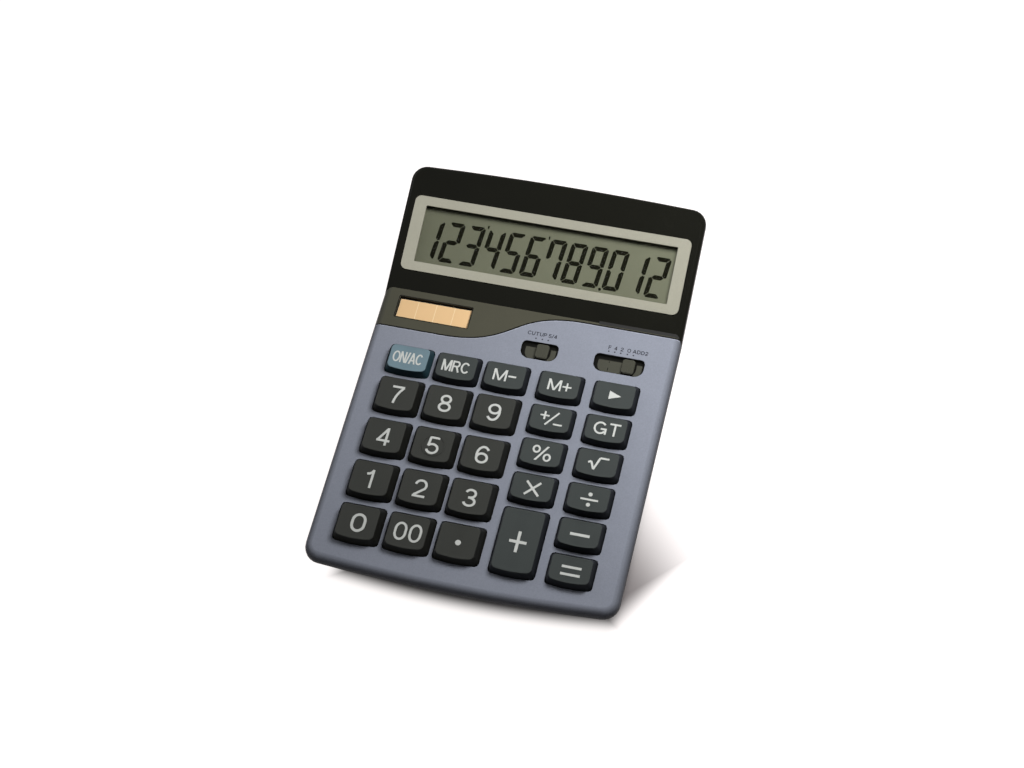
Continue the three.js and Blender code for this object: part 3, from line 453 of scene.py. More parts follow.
def pad(width, front, back, radius, bow=0, bow_steps=12, back_radius=None):
    """Outline of a pad with round corners whose front edge may bow out, anticlockwise."""
    if back_radius is None:
        back_radius = radius
    far = end_arc(width / 2, back, 0, back_radius, bow_steps)
    near = end_arc(width / 2, -front, bow, radius, bow_steps)
    return np.concatenate([far, -near])


def arc(x, y, radius, angles):
    """Points on a circle at these angles, in radians."""
    return np.stack([x + radius * np.cos(angles), y + radius * np.sin(angles)], -1)


def circle(x, y, radius, sides):
    """Points round a circle, anticlockwise."""
    return arc(x, y, radius, np.linspace(0, 2 * math.pi, sides, endpoint=False))


def at_height(outline, z):
    """An outline's points, all at one height."""
    return np.column_stack([outline, np.full(len(outline), float(z))])


def key_top(width, sides):
    """Height over a key's top as a function: a cylinder dished across by KEY_DISH at its middle."""
    middle = (sides[0] - sides[1]) / 2
    half = (width - sum(sides)) / 2

    def top(x, _):
        return KEY_RISE - KEY_DISH * (1 - np.clip((x - middle) / half, -1, 1) ** 2)

    return top


def keycap(width, length, sides):
    """A cap: flange, upright foot, leaning walls, a quarter ellipse for its shoulder and a dished
    top.

    The walls lean in by sides at the left and the right, KEY_FRONT and KEY_BACK.
    """
    def ring(share, z, spread=0.0):
        left, right = sides[0] * share - spread, sides[1] * share - spread
        near, far = KEY_FRONT * share - spread, KEY_BACK * share - spread
        outline = pad(width - left - right, near - length / 2, length / 2 - far, KEY_CORNER,
                      KEY_BOW, back_radius=KEY_BACK_CORNER)
        return at_height(outline + ((left - right) / 2, 0), z)

    rings = [
        ring(0, KEY_FLANGE_LOW, KEY_FLANGE),
        ring(0, KEY_FLANGE_TOP, KEY_FLANGE),
        ring(0, KEY_FLANGE_TOP),
        ring(0, 0),
    ]
    wall_top = KEY_RISE - KEY_SHOULDER
    for angle in np.radians(np.linspace(0, 90, SHOULDER_STEPS)):
        share = KEY_SHOULDER_SHARE + (1 - KEY_SHOULDER_SHARE) * (1 - math.cos(angle))
        rings.append(ring(share, wall_top + KEY_SHOULDER * math.sin(angle)))
    edge = rings[-1]
    middle = np.array([(sides[0] - sides[1]) / 2, (KEY_FRONT - KEY_BACK) / 2, KEY_RISE])
    top = key_top(width, sides)
    for share in TOP_SHARES:
        flat = middle + (edge - middle) * (share, share, 1)
        flat[:, 2] = top(flat[:, 0], flat[:, 1])
        rings.append(flat)
    return stack(rings)


# Glyphs as strokes along centrelines, in cap heights. A pair is a corner, and six numbers are an
# arc: its middle, its radii, and its first and last angle. Each glyph is its width and its strokes.
# Lines along an edge lie half a stroke in from it: at LO from the base line or the left, and at HI.
LO = 0.074
HI = 0.926
GLYPHS = {
    "0": (0.82, [[(0.41, 0.6, 0.335, 0.326, 0, 180), (0.41, 0.4, 0.335, 0.326, 180, 360),
                  (0.745, 0.6)]]),
    "1": (0.46, [[(0.37, 0.0), (0.37, 1.0)],
                 [(0.08, 0.745), (0.2, 0.77), (0.3, 0.84), (0.35, 0.93)]]),
    "2": (0.7, [[(0.35, 0.66, 0.265, 0.266, 172, -38), (0.1, 0.12)], [(0.03, LO), (0.66, LO)]]),
    "3": (0.7, [[(0.34, 0.72, 0.235, 0.206, 165, -85)], [(0.34, 0.285, 0.27, 0.211, 88, -168)],
                [(0.25, 0.507), (0.4, 0.507)]]),
    "4": (0.72, [[(0.51, 0.0), (0.51, 0.98)], [(0.09, 0.26), (0.5, 0.94)],
                 [(0.03, 0.265), (0.7, 0.265)]]),
    "5": (0.7, [[(0.16, HI), (0.62, HI)], [(0.175, 0.97), (0.12, 0.45)],
                [(0.34, 0.32, 0.272, 0.246, 145, -165)]]),
    "6": (0.72, [[(0.365, 0.315, 0.265, 0.241, 0, 360)], [(0.385, 0.5, 0.3, 0.426, 38, 200)]]),
    "7": (0.7, [[(0.05, HI), (0.66, HI)],
                [(0.635, 0.91), (0.48, 0.7), (0.365, 0.46), (0.295, 0.22), (0.265, 0.0)]]),
    "8": (0.7, [[(0.35, 0.728, 0.225, 0.198, 0, 360)], [(0.35, 0.29, 0.268, 0.216, 0, 360)]]),
    "9": (0.72, [[(0.355, 0.685, 0.265, 0.241, 0, 360)], [(0.335, 0.5, 0.3, 0.426, 218, 380)]]),
    "A": (0.84, [[(0.05, 0.0), (0.42, 1.0)], [(0.79, 0.0), (0.42, 1.0)],
                 [(0.17, 0.31), (0.67, 0.31)]]),
    "C": (0.88, [[(0.46, 0.5, 0.386, 0.426, 38, 322)]]),
    "D": (0.82, [[(LO, 0.0), (LO, 1.0)], [(LO, HI), (0.36, HI),
                 (0.37, 0.5, 0.376, 0.426, 90, -90), (LO, LO)]]),
    "F": (0.64, [[(LO, 0.0), (LO, 1.0)], [(LO, HI), (0.64, HI)], [(LO, 0.52), (0.56, 0.52)]]),
    "G": (0.92, [[(0.46, 0.5, 0.386, 0.426, 38, 325)], [(0.5, 0.43), (0.92, 0.43)],
                 [(0.85, 0.46), (0.85, 0.02)]]),
    "M": (0.98, [[(LO, 0.0), (LO, 1.0)], [(0.906, 0.0), (0.906, 1.0)],
                 [(0.1, 1.0), (0.49, 0.0)], [(0.88, 1.0), (0.49, 0.0)]]),
    "N": (0.8, [[(LO, 0.0), (LO, 1.0)], [(0.726, 0.0), (0.726, 1.0)], [(0.09, 1.0), (0.71, 0.0)]]),
    "O": (0.98, [[(0.49, 0.5, 0.416, 0.426, 0, 360)]]),
    "P": (0.74, [[(LO, 0.0), (LO, 1.0)], [(LO, HI), (0.46, HI),
                 (0.46, 0.7, 0.2, 0.226, 90, -90), (LO, 0.474)]]),
    "R": (0.84, [[(LO, 0.0), (LO, 1.0)], [(LO, HI), (0.5, HI),
                 (0.51, 0.715, 0.21, 0.211, 90, -90), (LO, 0.504)], [(0.47, 0.5), (0.74, 0.0)]]),
    "T": (0.76, [[(0.0, HI), (0.76, HI)], [(0.38, 0.0), (0.38, 0.95)]]),
    "U": (0.78, [[(LO, 1.0), (LO, 0.4), (0.39, 0.4, 0.316, 0.326, 180, 360), (0.706, 1.0)]]),
    "/": (0.34, [[(0.0, 0.0), (0.34, 1.0)]]),
}


def centreline(tokens, middle, height, stretch):
    """Points along a stroke in millimetres, no further apart than RUN_STEP on its straight runs."""
    points = []
    for token in tokens:
        if len(token) == 2:
            points.append(token)
            continue
        x, y, across, up, first, last = token
        steps = max(3, round(abs(last - first) / ARC_STEP))
        a = np.radians(np.linspace(first, last, steps + 1))
        points.extend(np.stack([x + across * np.cos(a), y + up * np.sin(a)], -1))
    points = (np.array(points) - (0, 0.5)) * (height * stretch, height) + middle
    dense = [points[:1]]
    for start, end in zip(points[:-1], points[1:]):
        steps = max(1, math.ceil(np.hypot(*(end - start)) / RUN_STEP))
        dense.append(start + (end - start) * (np.arange(1, steps + 1) / steps)[:, None])
    return np.concatenate(dense)


def ribbon(line, thickness, surface, rise, level_cut=False):
    """A flat stroke along a centreline, lying on a surface given as a height function.

    Its edges run half the thickness to each side of the line, along its normal. Its ends are cut
    square, or level, as on a stroke that stands on the base line.
    """
    closed = np.allclose(line[0], line[-1])
    if closed:
        line = line[:-1]
        run = np.roll(line, -1, 0) - np.roll(line, 1, 0)
    else:
        run = np.gradient(line, axis=0)
    run = run / np.hypot(*run.T)[:, None]
    offset = np.column_stack([-run[:, 1], run[:, 0]]) * thickness / 2
    if level_cut and not closed:
        for i in (0, -1):
            steep = max(abs(run[i, 1]), STEEP_LEAST)
            offset[i] = (-math.copysign(thickness / 2 / steep, run[i, 1]), 0)
        share = np.linspace(0, 1, len(line))[:, None]
        offset = offset[0] * (1 - share) + offset[-1] * share
    left, right = line + offset, line - offset
    columns = []
    for edge, height in ((right, -INK_ROOT), (right, rise), (left, rise), (left, -INK_ROOT)):
        columns.append(np.column_stack([edge, surface(edge[:, 0], edge[:, 1]) + height]))
    rings = np.stack(columns, 1)
    count = len(line)
    faces = side_faces(count, 4)
    if closed:
        last = (count - 1) * 4
        faces += [[last + i, last + (i + 1) % 4, (i + 1) % 4, i] for i in range(4)]
    else:
        faces += [[3, 2, 1, 0], [(count - 1) * 4 + i for i in range(4)]]
    return rings.reshape(-1, 3), faces


def patch(outline, surface):
    """Ink that fills an outline on a surface."""
    height = surface(outline[:, 0], outline[:, 1])
    return stack([np.column_stack([outline, height + rise]) for rise in (-INK_ROOT, INK_RISE)])


def line_of(text, x, y, height, thickness, surface, stretch=1.0, gap=0.14, width=None):
    """A line of glyphs centred on x, y. With a width, the glyphs are stretched to fill it."""
    widths = [GLYPHS[c][0] for c in text]
    total = sum(widths) + gap * (len(text) - 1)
    if width:
        stretch = width / (total * height)
    at = x - total * stretch * height / 2
    parts = []
    for c, advance in zip(text, widths):
        for tokens in GLYPHS[c][1]:
            line = centreline(tokens, (at, y), height, stretch)
            level = len(tokens) == 2 and all(len(t) == 2 and t[1] in (0.0, 1.0) for t in tokens)
            parts.append(ribbon(line, thickness, surface, INK_RISE + INK_STEP * len(parts), level))
        at += (advance + gap) * stretch * height
    return parts


def traced(tokens):
    """The centreline of tokens that are given in millimetres, about the key's own middle."""
    return centreline(tokens, (0, 0.5), 1, 1)


# Legends about their key's middle, in millimetres. Text: the glyphs, their middle, cap height and
# thickness, and how they are stretched or spaced.
TEXTS = {name: (glyph, -0.2, -0.75, 8.8, 1.05, {}) for name, glyph in DIGIT.items()}
TEXTS |= {
    "zero": ("0", 0.2, -0.75, 8.9, 1.2, {"stretch": 0.9}),
    "one": ("1", -1.1, -0.75, 8.8, 1.05, {}),
    "double_zero": ("00", 0, -0.75, 8.8, 1.05, {"gap": 0.16, "width": 12}),
    "on_ac": ("ON/AC", -0.35, -0.3, 5.6, 0.7, {"gap": 0.09, "width": 13.3}),
    "mrc": ("MRC", -0.3, -0.3, 5.6, 0.78, {"gap": 0.1, "width": 12.2}),
    "m_minus": ("M", -2.1, -0.4, 5.6, 0.82, {"width": 6.2}),
    "m_plus": ("M", -2.0, -0.5, 5.4, 0.8, {"width": 6.0}),
    "gt": ("GT", 0.5, -0.3, 6.2, 0.85, {"gap": 0.16, "width": 11.6}),
    "percent": ("/", 0.2, -0.6, 7.2, 0.85, {"width": 4.6}),
}
# Bars: both ends, the thickness, and the layer, which keeps crossing bars at different heights
BARS = {
    "m_minus": ((1.6, -0.4, 5.1, -0.4, 0.82, 0),),
    "m_plus": ((1.5, -0.7, 5.5, -0.7, 0.75, 0), (3.5, -2.7, 3.5, 1.3, 0.75, 1)),
    "plus_minus": (
        (-4.7, 0.9, -0.7, 0.9, 0.8, 0), (-2.7, -1.1, -2.7, 2.9, 0.8, 1),
        (-1.9, -3.6, 3.3, 3.1, 0.75, 2), (1.6, -2.8, 5.6, -2.8, 0.8, 0),
    ),
    "root": (
        (-3.9, -0.6, -2.7, 0.2, 0.88, 0), (-2.7, 0.2, -1.1, -3.6, 0.88, 1),
        (-1.1, -3.6, 0.9, 2.2, 0.88, 2), (0.9, 2.2, 4.8, 2.2, 0.88, 3),
    ),
    "multiply": ((-2.8, -4.1, 3.4, 2.3, 1, 0), (-2.8, 2.3, 3.4, -4.1, 1, 1)),
    "divide": ((-3.3, -1.1, 4.3, -1.1, 0.9, 0),),
    "minus": ((-3.9, -1.1, 4.5, -1.1, 1.25, 0),),
    "equals": ((-3.9, 0.6, 4.5, 0.6, 1.12, 0), (-3.9, -2.8, 4.5, -2.8, 1.12, 0)),
    "plus": ((-3.7, -1.1, 3.8, -1.1, 1.3, 0), (0, -6, 0, 3.8, 1.3, 1)),
}
# Loops: the middle, both radii, the thickness and the layer
LOOPS = {"percent": ((-2.4, 1.1, 1.35, 1.5, 0.85, 1), (2.8, -2.3, 1.35, 1.5, 0.85, 2))}
# Dots: the middle and the radius
DOTS = {"point": ((0, -1, 1.25),), "divide": ((0.5, 1.4, 0.9), (0.5, -3.5, 0.9))}
DOT_SIDES = 24
ARROW = ((-2.2, -2.7), (3.1, -0.6), (-2.2, 1.5))


def legend(name, top):
    """Strokes of one key's legend, about the key's own middle, on its top."""
    parts = []
    if name in TEXTS:
        *text, settings = TEXTS[name]
        parts += line_of(*text, top, **settings)
    for x0, y0, x1, y1, thickness, layer in BARS.get(name, ()):
        line = traced([(x0, y0), (x1, y1)])
        parts.append(ribbon(line, thickness, top, INK_RISE + INK_STEP * layer))
    for x, y, across, up, thickness, layer in LOOPS.get(name, ()):
        line = traced([(x, y, across, up, 0, 360)])
        parts.append(ribbon(line, thickness, top, INK_RISE + INK_STEP * layer))
    for x, y, radius in DOTS.get(name, ()):
        parts.append(patch(circle(x, y, radius, DOT_SIDES), top))
    if name == "arrow":
        parts.append(patch(np.array(ARROW), top))
    return parts


def make_keys():
    """A cap and a legend for each key, and the ring on the middle one."""
    for node in sorted(n for n in nodes if n.startswith("key_") and n != "key_membrane"):
        name = node[len("key_"):]
        low, high = extent(node)
        middle = np.array([(low[0] + high[0]) / 2, (low[1] + high[1]) / 2, 0])
        width, length = high[:2] - low[:2] - 2 * KEY_FLANGE
        if name in NUMBER_KEYS:
            material, slot, sides = number_cap, "number_key", NUMBER_SIDES
        elif name == "on_ac":
            material, slot, sides = teal_cap, "clear_key", KEY_SIDES
        else:
            material, slot, sides = function_cap, "function_key", KEY_SIDES
        solid = keycap(width, length, sides)
        cap = face_piece(f"cap_{name}", solid, material, node, slot, middle)
        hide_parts(node)
        top = key_top(width, sides)
        face_piece(f"legend_{name}", joined(legend(name, top)), legend_ink, node, slot, middle)
        if name == "five":
            around = traced([(0, -0.75, RING_RADIUS, RING_RADIUS, 0, 360)])
            solid = ribbon(around, RING_WIDTH, top, RING_RISE)
            face_piece("ring_five", solid, material, node, slot, middle)


# Shells: the CAD surface with its shared corners merged, its flats shaded flat and its rounds
# shaded round. Corners closer than MERGE_WITHIN millimetres are one, faces that turn by less than
# FLAT_WITHIN degrees are one, and edges from SHARP_FROM degrees stay sharp.
MERGE_WITHIN = 0.001
FLAT_WITHIN = 0.3
SHARP_FROM = 40
SHELLS = {
    "top_case": (blue_paint, "blue_case", "base"),
    "trim_panel": (olive_trim, "grey_panel", "base"),
    "rear_deck": (blue_paint, "blue_case", "base"),
    "bottom_case": (dark_shell, "dark_case", "base"),
    "display_front": (black_gloss, "black_case", "display"),
    "display_rear": (black_gloss, "black_case", "display"),
    "display_bezel": (silver_frame, "silver_frame", "display"),
}


def merged_copy(node, material):
    """A CAD node's surface as a new object, with its shared corners merged."""
    mesh = nodes[node].data.copy()
    mesh.name = f"{node}_skin"
    work = bmesh.new()
    work.from_mesh(mesh)
    bmesh.ops.remove_doubles(work, verts=work.verts, dist=MERGE_WITHIN * MM)
    bmesh.ops.dissolve_limit(work, angle_limit=math.radians(FLAT_WITHIN), verts=work.verts,
                             edges=work.edges)
    work.to_mesh(mesh)
    work.free()
    return shaded(mesh.name, mesh, material, SHARP_FROM)


def make_shell(node, material, slot, body):
    """A shell's skin, with normals that follow its large faces."""
    shell = merged_copy(node, material)
    weigh = shell.modifiers.new("flat_faces", "WEIGHTED_NORMAL")
    weigh.keep_sharp = True
    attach(shell, body)
    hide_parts(node)


def make_cable():
    """The flat cable between the two boards, as one fixed piece in its shape at rest."""
    cable = merged_copy("display_ribbon", cable_film)
    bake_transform(cable)
    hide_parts("display_ribbon")


# Display, in millimetres in the head's frame: which segments each digit shows, and where they are
SEGMENTS = {
    "0": "abcdef", "1": "bc", "2": "abged", "3": "abgcd", "4": "fgbc", "5": "afgcd", "6": "afgecd",
    "7": "abcf", "8": "abcdefg", "9": "abcdfg",
}
SHOWN = "123456789012"
DIGIT_PITCH = 9.56
FIRST_RIGHT = -49.7
DIGIT_WIDTH = 7.7
DIGIT_HEIGHT = 19.4
DIGIT_MIDDLE = 24.95
SEGMENT = 2.1
SEGMENT_GAP = 0.13
SEGMENT_BEVEL = 1.1
SEGMENT_TIP = 0.3
SEGMENT_ROOT = 0.05
SEGMENT_RISE = 0.02
SLANT = math.tan(math.radians(6.3))
# The marks between thousands, which taper downwards, and the decimal point
MARK = ((-0.2, -0.75), (0.3, -0.75), (0.5, 0.75), (-0.4, 0.75))
MARKS = ((-28.7, 35.0), (-0.2, 34.8))
POINT = (27.0, 15.2)
POINT_RADIUS = 0.7
POINT_SIDES = 16


def segment_outlines():
    """Seven segments of a digit about its middle, the outer corners bevelled, a hexagon across."""
    w, h, t, g, b = DIGIT_WIDTH / 2, DIGIT_HEIGHT / 2, SEGMENT, SEGMENT_GAP, SEGMENT_BEVEL
    top = [(-w + b + g, h), (-w + b / 2 + g, h - b / 2), (-w + t + g, h - t), (w - t - g, h - t),
           (w - b / 2 - g, h - b / 2), (w - b - g, h)]
    right = [(w, h - b - g), (w - b / 2, h - b / 2 - g), (w - t, h - t - g), (w - t, t / 2 + g),
             (w - t / 2, g), (w, g + SEGMENT_TIP)]
    middle = [(-w + t / 2 + g, 0), (-w + t + g, -t / 2), (w - t - g, -t / 2), (w - t / 2 - g, 0),
              (w - t - g, t / 2), (-w + t + g, t / 2)]
    sides = {"a": (top, 1, 1), "b": (right, 1, 1), "c": (right, 1, -1), "d": (top, 1, -1),
             "e": (right, -1, -1), "f": (right, -1, 1), "g": (middle, 1, 1)}
    return {key: np.array(points) * (x, y) for key, (points, x, y) in sides.items()}


def flat_plate(outline, low, high):
    """A plate between two heights. Its outline is turned anticlockwise where it isn't."""
    outline = np.asarray(outline, float)
    x, y = outline.T
    if np.sum(x * np.roll(y, -1) - np.roll(x, -1) * y) < 0:
        outline = outline[::-1]
    return stack([at_height(outline, low), at_height(outline, high)])


def make_display():
    """The digits that the display shows, as films on its glass that lean to the right."""
    glass_top = extent("lcd_panel", HEAD_TURN, hinge)[1][2]
    outlines = segment_outlines()
    shapes = []
    for i, digit in enumerate(SHOWN):
        right = FIRST_RIGHT + DIGIT_PITCH * i
        for key in SEGMENTS[digit]:
            outline = outlines[key].copy()
            outline[:, 0] += SLANT * outline[:, 1] + right - DIGIT_WIDTH / 2
            outline[:, 1] += DIGIT_MIDDLE
            shapes.append(outline)
    shapes += [np.array(MARK) + place for place in MARKS]
    shapes.append(circle(*POINT, POINT_RADIUS, POINT_SIDES))
    points, faces = joined([
        flat_plate(shape, glass_top - SEGMENT_ROOT, glass_top + SEGMENT_RISE) for shape in shapes])
    finish_mesh("lcd_segments", on_head(points), faces, segment_film, "display", "lcd")


# Solar cell, in millimetres: how far the strip is inside the cell at the left and the right, the
# front and the back, the films inside the strip, and the rim inside the cell. The wider margins at
# the left and the back, and the rim's shift that way, show more black there as painted shade.
FILMS = 4
CELL_SIDES = (1.3, 0.55)
CELL_ENDS = (0.35, 1.75)
CELL_ROOT = 0.1
STRIP_CORNER = 0.2
STRIP_RISE = 0.01
FILM_GAP = 0.3
FILM_INSET = 0.1
FILM_CORNER = 0.15
FILM_RISE = 0.03
RIM_INSET = 0.75
RIM_CORNER = 0.5
RIM_WIDTH = 0.4
RIM_SHIFT = 0.1


def make_solar_cell():
    """Four films over a pale strip that shows between them, in the cell's dark border, and a rim of
    painted shade.
    """
    low, high = extent("solar_cell")
    left, right = low[0] + CELL_SIDES[0], high[0] - CELL_SIDES[1]
    front, back = low[1] + CELL_ENDS[0], high[1] - CELL_ENDS[1]
    root = high[2] - CELL_ROOT
    strip = pad(right - left, front, back, STRIP_CORNER) + ((left + right) / 2, 0)
    solid = flat_plate(strip, root, high[2] + STRIP_RISE)
    face_piece("solar_cell_strip", solid, cell_line, "base", "solar_glass")
    ends = np.linspace(left, right, FILMS + 1)
    films = []
    for start, end in zip(ends[:-1], ends[1:]):
        outline = pad(end - start - FILM_GAP, front + FILM_INSET, back - FILM_INSET, FILM_CORNER)
        films.append(flat_plate(outline + ((start + end) / 2, 0), root, high[2] + FILM_RISE))
    face_piece("solar_cell_films", joined(films), cell_film, "base", "solar_glass")
    rim = pad(high[0] - low[0] - 2 * RIM_INSET, low[1] + RIM_INSET, high[1] - RIM_INSET, RIM_CORNER)
    middle = (low[0] + high[0]) / 2
    rim = np.concatenate([rim, rim[:1]]) + (middle - RIM_SHIFT, RIM_SHIFT)
    solid = ribbon(rim, RIM_WIDTH, flat, INK_RISE)
    face_piece("solar_cell_shade_rim", solid, cell_border_and_shade, "base", "grey_panel")


# Switches, in millimetres: the middle and width of each slot, and what all slots share
SLOTS = {"rounding_switch": (7.75, 16.7), "decimal_switch": (43.7, 22.6)}
SLOT_MIDDLE = 119.9
SLOT_HEIGHT = 8.9
SLOT_FRONT_CORNER = 4.2
SLOT_BACK_CORNER = 2.2
WELL_DEPTH = 1.8
# The lining, up over its lip and down to the floor: insets, and heights over the floor
LINING = (
    (0.06, 0.02), (0.06, 1.65), (0.14, 1.72), (0.24, 1.65), (0.3, 0.3), (0.5, 0.12), (1.9, 0.1),
)
# The strip on the floor: insets at the left, the right, the front and the back, and its heights.
# The larger insets at the left and the back leave more black lining in view there as painted shade.
STRIP_INSETS = (1.8, 1.1, 0.7, 2.1)
STRIP_LOW = 0.05
STRIP_HIGH = 0.2
# The divider across the strip, in two halves that leave room for the knob's stem
DIVIDER_AT = 39.1
DIVIDER_WIDTH = 0.3
DIVIDER_LOW = 0.1
DIVIDER_HIGH = 0.24
DIVIDER_CORNER = 0.05
DIVIDER_FRONT = 1
DIVIDER_BACK = 0.3
STEM_ROOM = 1.3
# The knob: its underside over the floor, its rounds as an inset and a drop from its top, how its
# walls lean, and its grip ridges
KNOB_UNDERSIDE = 0.3
KNOB_CHAMFER = 0.25
KNOB_CORNER = 1.2
KNOB_LEAN = 0.8
KNOB_STEPS = 32
RIDGE_DEPTH = 0.06
RIDGE_PITCH = 0.9
KNOB_ROUNDS = ((0.2, 0.3), (0.4, RIDGE_DEPTH))
# The stem through the floor, up into the knob by its lap, and the foot that holds the knob down
STEM_SIZE = 2.2
STEM_CORNER = 0.2
STEM_LOW = -3.6
STEM_LAP = 0.3
FOOT_SIZE = 4.4
FOOT_CORNER = 0.3
FOOT_HEIGHT = 1.2
# A dark plate under the knob, painted shadow that shows beside it. Corners, anticlockwise: the
# arc's middle, radius and first angle.
SHADOW_PLATE_CORNERS = (
    (0, -0.25, 3.55, -90), (2.35, 2.4, 1.2, 0), (-1.6, 2.4, 1.2, 90), (-2.2, -3.2, 0.6, 180),
)
SHADOW_PLATE_STEPS = 9
SHADOW_PLATE_LOW = -0.02
SHADOW_PLATE_HIGH = 0.12


def slot_outline(middle, width, left, right, front, back):
    """A slot's outline, drawn in by so much at each side."""
    outline = pad(width - left - right, front - SLOT_HEIGHT / 2, SLOT_HEIGHT / 2 - back,
                  SLOT_FRONT_CORNER - min(right, front),
                  back_radius=SLOT_BACK_CORNER - min(left, back))
    return outline + (middle + (left - right) / 2, SLOT_MIDDLE)


def make_slot(node, middle, width):
    """A dark lined slot with an olive strip on its floor. One of them has a divider across."""
    rings = []
    for inset, z in LINING:
        outline = slot_outline(middle, width, inset, inset, inset, inset)
        rings.append(at_height(outline, z - WELL_DEPTH))
    face_piece(f"{node}_slot", stack(rings), slot_black_and_shade, "base", "dark_case")
    strip = slot_outline(middle, width, *STRIP_INSETS)
    solid = flat_plate(strip, STRIP_LOW - WELL_DEPTH, STRIP_HIGH - WELL_DEPTH)
    face_piece(f"{node}_strip", solid, slot_strip, "base", "dark_case")
    if node != "decimal_switch":
        return
    near, far = strip[:, 1].min() + DIVIDER_FRONT, strip[:, 1].max() - DIVIDER_BACK
    halves = []
    for front, back in ((near, SLOT_MIDDLE - STEM_ROOM), (SLOT_MIDDLE + STEM_ROOM, far)):
        half = pad(DIVIDER_WIDTH, front, back, DIVIDER_CORNER) + (DIVIDER_AT, 0)
        halves.append(flat_plate(half, DIVIDER_LOW - WELL_DEPTH, DIVIDER_HIGH - WELL_DEPTH))
    face_piece(f"{node}_divider", joined(halves), slot_black_and_shade, "base", "dark_case")


def square_post(size, corner, low, high):
    """A square post about the knob's middle, between two heights."""
    return stack([at_height(pad(size, -size / 2, size / 2, corner), z) for z in (low, high)])


def make_knob(node):
    """A knob with leaning walls and grip ridges across its top, and a dark plate of painted shadow
    under it.
    """
    low, high = extent(node)
    middle = ((low[0] + high[0]) / 2, (low[1] + high[1]) / 2, 0)
    half_x, half_y, top = (high[0] - low[0]) / 2, (high[1] - low[1]) / 2, high[2]
    bottom = KNOB_UNDERSIDE - WELL_DEPTH
    levels = [(KNOB_CHAMFER, bottom), (0, bottom + KNOB_CHAMFER), (0, 0)]
    levels += [(inset, top - drop) for inset, drop in KNOB_ROUNDS]
    rings = []
    for inset, z in levels:
        outline = pad(2 * (half_x - inset), inset - half_y, half_y - inset, KNOB_CORNER - inset,
                      bow_steps=KNOB_STEPS)
        rings.append(at_height(outline - (inset * KNOB_LEAN, 0), z))
    edge = rings[-1]
    for share in TOP_SHARES:
        inner = edge * (share, share, 1)
        wave = np.cos(inner[:, 0] * 2 * math.pi / RIDGE_PITCH)
        inner[:, 2] = top - RIDGE_DEPTH + RIDGE_DEPTH * wave
        rings.append(inner)
    quarter = np.linspace(0, 90, SHADOW_PLATE_STEPS)
    shadow_plate = [arc(*corner, np.radians(first + quarter)) for *corner, first in SHADOW_PLATE_CORNERS]
    solid = flat_plate(np.concatenate(shadow_plate), bottom + SHADOW_PLATE_LOW, bottom + SHADOW_PLATE_HIGH)
    face_piece(f"{node}_skirt", solid, slot_black_and_shade, node, "dark_case", middle)
    stem = square_post(STEM_SIZE, STEM_CORNER, STEM_LOW, bottom + STEM_LAP)
    foot = square_post(FOOT_SIZE, FOOT_CORNER, low[2], low[2] + FOOT_HEIGHT)
    solid = joined([stack(rings), stem, foot])
    knob = face_piece(f"{node}_knob", solid, knob_plastic, node, "dark_case", middle)
    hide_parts(node)


# The switches' labels, in millimetres on the face: their middles, and a dot over each step
LABELS = (
    ("CUT", 3.1, 128.4), ("UP", 7.7, 128.4), ("5/4", 12, 128.4), ("F", 38, 128), ("4", 40.7, 128),
    ("2", 43.5, 128), ("0", 46.7, 128), ("ADD2", 51.8, 128),
)
LABEL_HEIGHT = 1.9
LABEL_INK = 0.32
LABEL_DOTS = (4.8, 7.7, 10.4, 37.9, 40.6, 43.3, 46.3, 49.0)
LABEL_DOTS_UP = 126.0
LABEL_DOT_RADIUS = 0.36
LABEL_DOT_SIDES = 10


def flat(x, _):
    """The height of the face over itself, for prints that lie on it."""
    return np.zeros(np.shape(x))


def make_labels():
    """Printed positions of the two switches, with a dot over each step."""
    parts = []
    for text, x, y in LABELS:
        parts += line_of(text, x, y, LABEL_HEIGHT, LABEL_INK, flat)
    for x in LABEL_DOTS:
        parts.append(patch(circle(x, LABEL_DOTS_UP, LABEL_DOT_RADIUS, LABEL_DOT_SIDES), flat))
    face_piece("switch_labels", joined(parts), label_ink, "base", "blue_case")


# The seam between panel and case, in millimetres: its S-curve's ends, how far its handles reach as
# shares of its width, where it ends on the rounded sides, and the points on its three stretches.
# Its bands: how far in front of the seam's line they lie, their width and their material.
SEAM_START = (-37.4, 119.4)
SEAM_END = (24.6, 138.1)
SEAM_REACH = 0.565
SEAM_SIDE = 67.6
SEAM_STEPS = (30, 49, 40)
SEAM_BANDS = {"seam": (0, 0.65, slot_black_and_shade), "lip_highlight": (0.48, 0.2, seam_highlight)}
# Painted shade in the gap behind the seam's right half, laid over the panel's end
GAP_START = 6
GAP_UP = 1.45
GAP_WIDTH = 1.7
# Half the case's width, and the round of its long edges
CASE_HALF = 68.5
EDGE_ROUND = 3.4


def over_the_edge(x, _):
    """The case's top with its quarter rounds down both long sides."""
    past = np.clip(np.abs(x) - CASE_HALF + EDGE_ROUND, 0, EDGE_ROUND)
    return np.sqrt(EDGE_ROUND ** 2 - past ** 2) - EDGE_ROUND


def level_run(start, end, y, count):
    """Points along a level line from one x to another."""
    return np.column_stack([np.linspace(start, end, count), np.full(count, y)])


